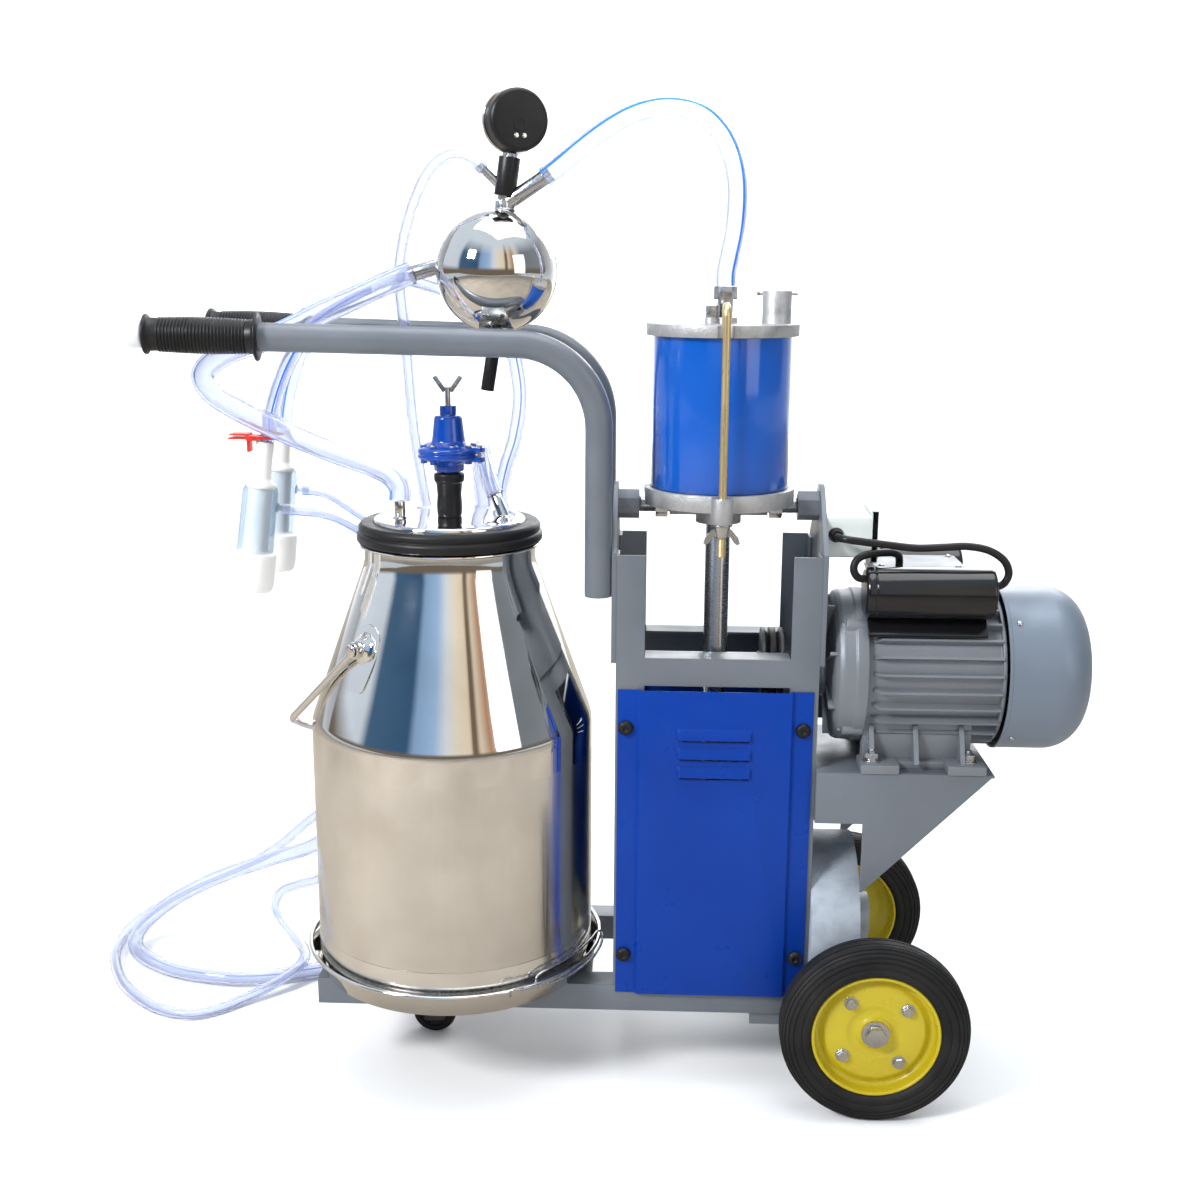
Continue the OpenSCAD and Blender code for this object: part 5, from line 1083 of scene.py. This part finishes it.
def make_fan_cover():
    """Deep drawn cover: seam bead at its open end, air slots in its closed end."""
    x0, r, l, corner, wall = 0.403, 0.0875, 0.093, 0.042, 0.0016
    out = [(r - wall, x0), (r + 0.0005, x0), (r + 0.0005, x0 + 0.003), (r, x0 + 0.0036)]
    out += arc(r - corner, x0 + l - corner, corner, 0, 78, 24)
    slots = []
    for k in range(5):
        q = r - corner + 0.005 - 0.0085 * k
        slots += [(q, x0 + l), (q - 0.0022, x0 + l), (q - 0.0024, x0 + l - 0.0016), (q - 0.0060, x0 + l - 0.0016),
                  (q - 0.0062, x0 + l)]
    back = [(0, x0 + l), (0, x0 + l - 0.0035), (r - corner, x0 + l - 0.0035)]
    back += arc(r - corner, x0 + l - corner, corner - 0.0035, 80, 0, 16) + [(r - 0.0035, x0 + 0.006)]
    cover = lathe("fan_cover_shell", out + slots + back, ALONG_X, M["cover"], "frame", 160, 30)
    stands_for(cover, "motor_fan_cover")
    bm = bmesh.new()
    for k in range(4):
        turn = Matrix.Translation(MOTOR_AT) @ Matrix.Rotation(math.radians(45 + 90 * k), 4, "X")
        add_screw(bm, turn @ facing((x0 + 0.012, 0, r), (0, 0, 1)), 0.0030)
    stands_for(made("fan_cover_screws", bm, M["zinc"], "frame"), "motor_fan_cover")


def make_capacitors():
    cap_r, cap_z = 0.0265, 0.561
    for name, x, y, l in (("near", 0.254, -0.063, 0.132), ("far", 0.286, 0.063, 0.090)):
        bm = bmesh.new()
        place = facing(at_tower(x, y, cap_z), (1, 0, 0))
        profile = [(0, 0), (cap_r - 0.004, 0), (cap_r - 0.0010, 0.0012), (cap_r, 0.004), (cap_r, 0.009)]
        profile += [(cap_r - 0.0007, 0.0096), (cap_r - 0.0007, 0.0104), (cap_r, 0.011), (cap_r, l - 0.004)]
        profile += [(cap_r - 0.001, l - 0.0012), (cap_r - 0.004, l), (0, l)]
        add_lathe(bm, rounded(profile, 0.0006, 2), place, 96)
        roll = 42 if y < 0 else -42
        strap = Matrix.Translation(at_tower(x + 0.005, 0, MOTOR_Z)) @ Matrix.Rotation(math.radians(roll), 4, "X")
        add_box(bm, (0, -0.022, 0.084), (l - 0.010, 0.022, 0.089), 0.0012, strap)
        stands_for(made(name + "_capacitor", bm, M["gloss_black"], "frame"), "capacitors")
        bm = bmesh.new()
        for dx in (0.012, l - 0.022):
            add_screw(bm, strap @ Matrix.Translation((dx, 0.017 if y < 0 else -0.017, 0.089)), 0.003)
        stands_for(made(name + "_capacitor_screws", bm, M["yellow_zinc"], "frame"), "capacitors")


make_motor()
make_fan_cover()
make_capacitors()


# ------------------------------------------------------------------ fasteners, pump and switch box

TOWER_D = 0.147
FRONT_Y = -TOWER_D / 2
SHELF_Z = 0.372
FOOT_X, FOOT_Y = (0.269, 0.369), 0.070
KNOB_X, KNOB_Z = (0.011, 0.196), (0.158, 0.415)


def make_fasteners():
    bm = bmesh.new()
    for x in KNOB_X:
        for z in KNOB_Z:
            for out in (-1, 1):
                at = facing(at_tower(x, out * (TOWER_D / 2 + 0.002), z), (0, out, 0))
                add_lathe(bm, rounded([(0, 0), (0.0080, 0), (0.0080, 0.0022), (0.0062, 0.0048), (0.0030, 0.0060),
                                       (0.0022, 0.0046), (0, 0.0046)], 0.0006), at, 48)
    stands_for(made("panel_knobs", bm, M["black"], "frame"), "frame_fasteners")
    bm = bmesh.new()
    for x in FOOT_X:
        for y in (-FOOT_Y, FOOT_Y):
            at = Matrix.Translation(at_tower(x, y, SHELF_Z))
            for z, r, t in ((0.0100, 0.0095, 0.0016), (0.0116, 0.0070, 0.0014)):
                add_lathe(bm, rounded([(0.0042, z), (r, z), (r, z + t), (0.0042, z + t)], 0.0004), at, 40)
            add_hex(bm, at @ Matrix.Translation((0, 0, 0.0130)) @ Matrix.Rotation(x * 9, 4, "Z"), 0.0130, 0.0058)
            thread = [(0, -0.009), (0.004, -0.009)]
            for k in range(24):
                z = 0.0085 + 0.0006 * k
                thread += [(0.0040, z), (0.0036, z + 0.0003)]
            add_lathe(bm, thread + [(0.0032, 0.0230), (0, 0.0230)], at, 28)
            add_hex(bm, at @ Matrix.Translation((0, 0, -0.0090)), 0.0130, 0.0059)
    stands_for(made("foot_bolts", bm, M["zinc"], "frame"), "frame_fasteners")


def make_hook_bolts():
    bend, bottom, rise, hook_y = 0.010, 0.600, 0.838, -0.087
    rods, nuts = bmesh.new(), bmesh.new()
    for flip in (1, -1):
        def spot(x, y, z):
            return at_tower(PUMP_X + x, flip * y, z)
        line = [spot(0, hook_y, z) for z in (bottom, bottom + 0.003, 0.70, 0.80, rise)]
        line += [spot(0, hook_y + bend - bend * math.cos(a), rise + bend * math.sin(a))
                 for a in (math.radians(12 * k) for k in range(1, 16))]
        line.append(spot(0, hook_y + 2 * bend, 0.8294))
        add_tube(rods, line, 0.004, 0, 28)
        thread = []
        for k in range(26):
            z = 0.601 + 0.0011 * k
            thread += [(0.00395, z), (0.00425, z + 0.00055)]
        add_lathe(rods, [(0.002, 0.601)] + thread + [(0.002, 0.6292)], Matrix.Translation(spot(0, hook_y, 0)), 28)
        at = Matrix.Translation(spot(0, hook_y, 0))
        add_lathe(nuts, rounded([(0.0043, 0.6320), (0.0105, 0.6320), (0.0105, 0.6336), (0.0043, 0.6336)], 0.0004), at, 40)
        add_lathe(nuts, rounded([(0.0043, 0.6200), (0.0062, 0.6200), (0.0088, 0.6318), (0.0043, 0.6318)], 0.0008), at, 40)
        for side in (-1, 1):
            wing = [(side * x, z) for x, z in ((0.0045, 0.0), (0.010, -0.002), (0.0165, -0.0095), (0.0185, -0.0155),
                                               (0.0160, -0.0175), (0.0125, -0.0150), (0.0085, -0.0090), (0.0045, -0.0085))]
            place = at @ Matrix.Translation((0, 0.0016, 0.6300)) @ Matrix.Rotation(math.radians(90), 4, "X")
            add_prism(nuts, wing, 0.0032, place)
    stands_for(made("hook_rods", rods, M["yellow_zinc"], "cylinder", 50), "hook_bolts")
    stands_for(made("hook_wing_nuts", nuts, M["zinc"], "cylinder"), "hook_bolts")


def make_pump_cylinder():
    """Painted barrel; its bore stays open so the piston can be seen from inside."""
    r, bore, low, high = 0.072, 0.0691, 0.6601, 0.8169
    place = Matrix.Translation(at_tower(PUMP_X, 0, 0))
    profile = rounded([(bore, low), (r, low), (r, high), (bore, high)], 0.0006)
    stands_for(lathe("pump_barrel", profile, place, M["cylinder"], "cylinder", 192, 40), "pump_cylinder")
    bm = bmesh.new()
    for z in (0.6596, 0.8164):
        add_lathe(bm, rounded([(r - 0.0004, z), (r + 0.0012, z), (r + 0.0012, z + 0.0010), (r - 0.0004, z + 0.0010)],
                              0.0003), place, 128)
    made("pump_gaskets", bm, M["black"], "cylinder")


def make_switch_box():
    """Milky box with a stepped cover, four screws, a rocker frame and a black cable grommet."""
    x0 = 0.216
    bm = bmesh.new()
    add_shell_box(bm, at_tower(x0, -0.040, 0.592), at_tower(x0 + 0.046, 0.015, 0.636), 0.003, 0.002)
    cover_x, edge = x0 + 0.0465, 0.0012
    low, high = (-0.044, 0.588), (0.019, 0.642)
    hole_low, hole_high = (-0.0245, 0.6015), (-0.0045, 0.6295)
    for a, b in (((low[0], low[1]), (high[0], hole_low[1])), ((low[0], hole_high[1]), (high[0], high[1])),
                 ((low[0], hole_low[1]), (hole_low[0], hole_high[1])), ((hole_high[0], hole_low[1]), (high[0], hole_high[1]))):
        add_box(bm, at_tower(cover_x, a[0], a[1]), at_tower(cover_x + 0.0055, b[0], b[1]), 0)
    for a, b in (((low[0], low[1]), (high[0], low[1] + 0.003)), ((low[0], high[1] - 0.003), (high[0], high[1])),
                 ((low[0], low[1]), (low[0] + 0.003, high[1])), ((high[0] - 0.003, low[1]), (high[0], high[1]))):
        add_box(bm, at_tower(cover_x - 0.0008, a[0], a[1]), at_tower(cover_x + 0.0063, b[0], b[1]), edge * 0.6)
    stands_for(made("switch_box_shell", bm, M["white"], "frame"), "switch_box")
    bm = bmesh.new()
    for y in (-0.0395, 0.0145):
        for z in (0.5925, 0.6375):
            add_screw(bm, facing(at_tower(cover_x + 0.0055, y, z), (1, 0, 0)), 0.0026)
    stands_for(made("switch_box_screws", bm, M["zinc"], "frame"), "switch_box")
    bm = bmesh.new()
    ring = [(0.0042, -0.001), (0.0078, -0.001), (0.0078, 0.0010), (0.0066, 0.0025), (0.0060, 0.0078), (0.0042, 0.0080)]
    add_lathe(bm, rounded(ring, 0.0005), facing(at_tower(0.226, -0.040, 0.616), (0, -1, 0)), 40)
    stands_for(made("cable_grommet", bm, M["rubber"], "frame"), "switch_box")


def add_shell_box(bm, low, high, edge, wall):
    """A thin-walled box open towards +X, with rounded long edges."""
    def ring(x, shrink, radius):
        y0, y1, z0, z1 = low.y + shrink, high.y - shrink, low.z + shrink, high.z - shrink
        out = []
        for cy, cz, a0 in ((y1 - radius, z1 - radius, 0), (y0 + radius, z1 - radius, 90),
                           (y0 + radius, z0 + radius, 180), (y1 - radius, z0 + radius, 270)):
            for k in range(5):
                a = math.radians(a0 + 22.5 * k)
                out.append(bm.verts.new((x, cy + radius * math.cos(a), cz + radius * math.sin(a))))
        return out
    rings = [ring(low.x, edge * 0.3, edge * 0.7), ring(low.x + edge * 0.3, 0, edge), ring(high.x, 0, edge),
             ring(high.x, wall, edge * 0.6), ring(low.x + wall, wall, edge * 0.6)]
    for a, b in zip(rings, rings[1:]):
        for k in range(len(a)):
            n = (k + 1) % len(a)
            bm.faces.new([a[k], a[n], b[n], b[k]])
    bm.faces.new(rings[0][::-1])
    bm.faces.new(rings[-1])


def make_louvres():
    """Pressed hoods over the slots of both panels."""
    half, rows, columns, rise, reach = 0.0395, 8, 44, 0.0040, 0.0118
    middle, face = 0.104, TOWER_D / 2 + 0.006
    for name, flip in (("front_louvres", -1), ("rear_louvres", 1)):
        bm = bmesh.new()
        for slot_z in (0.3620, 0.3825, 0.4030):
            grid = []
            for i in range(-1, rows + 1):
                v = max(i, 0) / rows
                row = []
                for k in range(columns + 1):
                    u = 2 * k / columns - 1
                    end = min(1.0, (1 - abs(u)) / 0.07)
                    end *= end * (3 - 2 * end)
                    lift = 0.0001 if i < 0 else 0.0001 + rise * math.cos(math.pi / 2 * v) ** 0.75 * end
                    row.append(bm.verts.new(at_tower(middle + half * u, flip * (face + lift), slot_z + 0.0013 + reach * v)))
                grid.append(row)
            for low, high in zip(grid, grid[1:]):
                for k in range(columns):
                    bm.faces.new([low[k], low[k + 1], high[k + 1], high[k]][::-flip])
        made(name, bm, M["blue"], "frame", 40)


CUPS = (
    # top, foot, start of the pulse tube
    ((-0.371, -0.020, 0.704), (-0.393, -0.020, 0.545), (-0.355, -0.020, 0.633)),
    ((-0.371, 0.057, 0.712), (-0.388, 0.057, 0.554), (-0.353, 0.057, 0.641)),
)


def make_cups():
    """Thin clear shells with their nipples, and the white liners inside them."""
    shells, liners = bmesh.new(), bmesh.new()
    for top, foot, nipple in CUPS:
        top, foot, nipple = (at_tower(*p) for p in (top, foot, nipple))
        along = (foot - top).normalized()
        place = facing(top, along)
        shell = [(0.0160, 0.0480), (0.0168, 0.0480), (0.0190, 0.0545), (0.0190, 0.1180), (0.0182, 0.1180),
                 (0.0182, 0.0550)]
        add_lathe(shells, rounded(shell, 0.0003), place, 96)
        root = top + along * 0.068
        out = nipple - root
        out = (out - along * out.dot(along)).normalized()
        add_pipe(shells, root + out * 0.0178, root + out * 0.0330, 0.0034, 0.0020, 0.0003, 32)
        add_pipe(shells, root + out * 0.0185, root + out * 0.0205, 0.0052, 0.0034, 0.0004, 32)
        liner = [(0.0060, -0.0005), (0.0088, -0.0005), (0.0095, 0.0008), (0.0095, 0.0100), (0.0090, 0.0112),
                 (0.0092, 0.0300), (0.0100, 0.0390), (0.0140, 0.0430), (0.0152, 0.0445), (0.0152, 0.0478),
                 (0.0132, 0.0492), (0.0126, 0.0540), (0.0130, 0.0900), (0.0135, 0.1165), (0.0196, 0.1178),
                 (0.0220, 0.1195), (0.0228, 0.1225), (0.0230, 0.1500), (0.0222, 0.1560), (0.0205, 0.1598),
                 (0.0160, 0.1600), (0.0120, 0.1585), (0.0112, 0.1550), (0.0110, 0.0700), (0.0060, 0.0660)]
        add_lathe(liners, rounded(liner, 0.0008, 2), place, 96)
    piece = made("cup_shell_tubes", shells, M["shell"], "frame", 40)
    piece.visible_shadow = False
    stands_for(piece, "cup_shells")
    stands_for(made("cup_liner_tubes", liners, M["liner"], "frame", 40), "cup_liners")


def make_clip():
    """Sliding pinch clip: forked handle, plate round the tube and a short leg."""
    place = Matrix.Translation(at_tower(-0.3675, -0.0196, 0.707))
    bm = bmesh.new()
    for side in (-1, 1):
        add_box(bm, (-0.0130, side * 0.0088 - 0.0030, 0), (0.0128, side * 0.0088 + 0.0030, 0.0034), 0.0008, place)
    add_box(bm, (0.0092, -0.0118, 0), (0.0130, 0.0118, 0.0034), 0.0008, place)
    add_box(bm, (-0.0215, -0.0118, -0.0012), (-0.0100, 0.0118, 0.0040), 0.0010, place)
    add_box(bm, (-0.0218, -0.0070, -0.0135), (-0.0186, 0.0070, 0.0010), 0.0010, place)
    add_box(bm, (-0.0400, -0.0118, 0.0002), (-0.0205, 0.0118, 0.0022), 0.0008, place)
    add_box(bm, (-0.0392, -0.0100, 0.0042), (-0.0190, 0.0100, 0.0060), 0.0007, place)
    add_box(bm, (-0.0225, -0.0100, 0.0018), (-0.0190, 0.0100, 0.0050), 0.0007, place)
    stands_for(made("clip_plate", bm, M["red"], "clip", 45), "shut_off_clip")


make_fasteners()
make_louvres()
make_cups()
make_clip()
make_hook_bolts()
make_pump_cylinder()
make_switch_box()


# ------------------------------------------------------------------ studio


def make_floor():
    """Pale floor that curves up into a pale backdrop far behind."""
    bm = bmesh.new()
    half, bend, back, height = 16.0, 2.0, 7.0, 8.0
    side = [(-6.0, 0.0)] + [(back - bend + bend * math.sin(a), bend - bend * math.cos(a))
                            for a in (math.radians(6 * k) for k in range(16))] + [(back, height)]
    rows = [[bm.verts.new((x, y, z)) for x in (-half, half)] for y, z in side]
    for a, b in zip(rows, rows[1:]):
        bm.faces.new([a[0], a[1], b[1], b[0]])
    mesh = bpy.data.meshes.new("studio_floor")
    bm.to_mesh(mesh)
    bm.free()
    for p in mesh.polygons:
        p.use_smooth = True
    floor = bpy.data.objects.new("studio_floor", mesh)
    paper = Shader("studio_paper", (0.90, 0.90, 0.90), 0.0, 0.8)
    paper.rough(paper.noise(3, 2), 0.75, 0.85)
    mesh.materials.append(paper.material)
    bpy.context.scene.collection.objects.link(floor)


def make_lamp(name, at, target, size, power, color=(1, 1, 1)):
    data = bpy.data.lights.new(name, "AREA")
    data.shape = "RECTANGLE"
    data.size, data.size_y = size
    data.energy = power
    data.color = color
    lamp = bpy.data.objects.new(name, data)
    lamp.location = at
    lamp.rotation_euler = (Vector(target) - Vector(at)).to_track_quat("-Z", "Y").to_euler()
    bpy.context.scene.collection.objects.link(lamp)


def make_world():
    """Sky all round: each compass direction has its own tone, so polished steel shows upright bands."""
    world = bpy.data.worlds.new("studio")
    bpy.context.scene.world = world
    world.use_nodes = True
    tree = world.node_tree
    nodes_new = tree.nodes.new

    def math_node(operation, a, b=None):
        node = nodes_new("ShaderNodeMath")
        node.operation = operation
        tree.links.new(a, node.inputs[0])
        if b is not None:
            tree.links.new(b, node.inputs[1])
        return node

    def ranged(value, low, high, start, end):
        node = nodes_new("ShaderNodeMapRange")
        for name, number in (("From Min", start), ("From Max", end), ("To Min", low), ("To Max", high)):
            node.inputs[name].default_value = number
        tree.links.new(value, node.inputs["Value"])
        return node.outputs["Result"]

    def mix(factor, a, b):
        """Mixes a link or a colour with a colour."""
        node = nodes_new("ShaderNodeMix")
        node.data_type = "RGBA"
        tree.links.new(factor, node.inputs["Factor"])
        tree.links.new(a, node.inputs["A"])
        node.inputs["B"].default_value = (*b, 1)
        return node.outputs["Result"]

    coords = nodes_new("ShaderNodeTexCoord")
    split = nodes_new("ShaderNodeSeparateXYZ")
    tree.links.new(coords.outputs["Generated"], split.inputs["Vector"])
    front = math_node("MULTIPLY", split.outputs["Y"])
    front.inputs[1].default_value = -1
    compass = math_node("ARCTAN2", split.outputs["X"], front.outputs["Value"])
    ramp = nodes_new("ShaderNodeValToRGB")
    tree.links.new(ranged(compass.outputs["Value"], 0, 1, -math.pi, math.pi), ramp.inputs["Fac"])
    bands = ramp.color_ramp
    for i, (degrees, color) in enumerate(COMPASS):
        stop = bands.elements[i] if i < 2 else bands.elements.new(1)
        stop.position = (degrees + 180) / 360
        stop.color = (*color, 1)
    above = ranged(split.outputs["Z"], 0, 1, 0.50, 0.80)
    below = ranged(split.outputs["Z"], 1, 0, 0.02, 0.12)
    sky = mix(above, ramp.outputs["Color"], (0.80, 0.90, 1.0))
    tree.links.new(mix(below, sky, (0.20, 0.16, 0.12)), tree.nodes["Background"].inputs["Color"])
    tree.nodes["Background"].inputs["Strength"].default_value = 0.95


COMPASS = [
    # degrees from the front towards the right, colour
    (-180, (0.85, 0.90, 1.0)), (-100, (0.80, 0.88, 1.0)), (-74, (0.75, 0.84, 0.95)), (-66, (0.07, 0.15, 0.27)),
    (-30, (0.05, 0.12, 0.24)), (-24, (0.30, 0.46, 0.72)), (-8, (0.42, 0.62, 0.92)), (2, (0.85, 0.92, 1.0)),
    (12, (1.0, 0.90, 0.74)), (22, (0.95, 0.80, 0.60)), (24, (0.20, 0.15, 0.10)), (27, (0.22, 0.16, 0.11)),
    (30, (0.90, 0.78, 0.62)), (38, (0.55, 0.30, 0.18)), (46, (0.85, 0.80, 0.74)), (58, (0.22, 0.25, 0.28)),
    (110, (0.30, 0.33, 0.37)), (180, (0.85, 0.90, 1.0)),
]


def make_card(name, at, turn, size, color):
    """Plain card that only polished and glossy surfaces see."""
    mesh = bpy.data.meshes.new(name)
    w, h = size[0] / 2, size[1] / 2
    mesh.from_pydata([(-w, -h, 0), (w, -h, 0), (w, h, 0), (-w, h, 0)], [], [(0, 1, 2, 3)])
    card = bpy.data.objects.new(name, mesh)
    card.location = at
    card.rotation_euler = turn
    cloth = Shader(name + "_cloth", color, 0.0, 0.9)
    cloth.shade(cloth.noise(1.5, 3), tuple(0.8 * c for c in color), 0.4, 0.7)
    cloth.rough(cloth.noise(4, 2), 0.85, 0.95)
    mesh.materials.append(cloth.material)
    card.visible_camera = False
    card.visible_shadow = False
    card.visible_diffuse = False
    card.visible_transmission = False
    bpy.context.scene.collection.objects.link(card)


make_floor()
make_world()
make_lamp("key", (-2.3, -2.2, 2.5), (0, 0, 0.5), (0.8, 0.8), 135)
make_lamp("fill", (2.6, -2.2, 1.6), (0, 0, 0.5), (1.4, 2.0), 14)
make_lamp("top", (0.2, 0.2, 3.2), (0, 0, 0.4), (2.4, 2.4), 62)
make_lamp("back", (1.2, 3.0, 2.2), (0, 0, 0.6), (2.0, 1.6), 40)
make_lamp("wash", (0.0, 3.2, 2.6), (0, 7.0, 2.6), (5.0, 1.0), 340)
make_card("ground", (0, 0, 0.0006), (0, 0, 0), (11, 11), (0.40, 0.345, 0.28))
bpy.context.scene.view_settings.view_transform = "Standard"
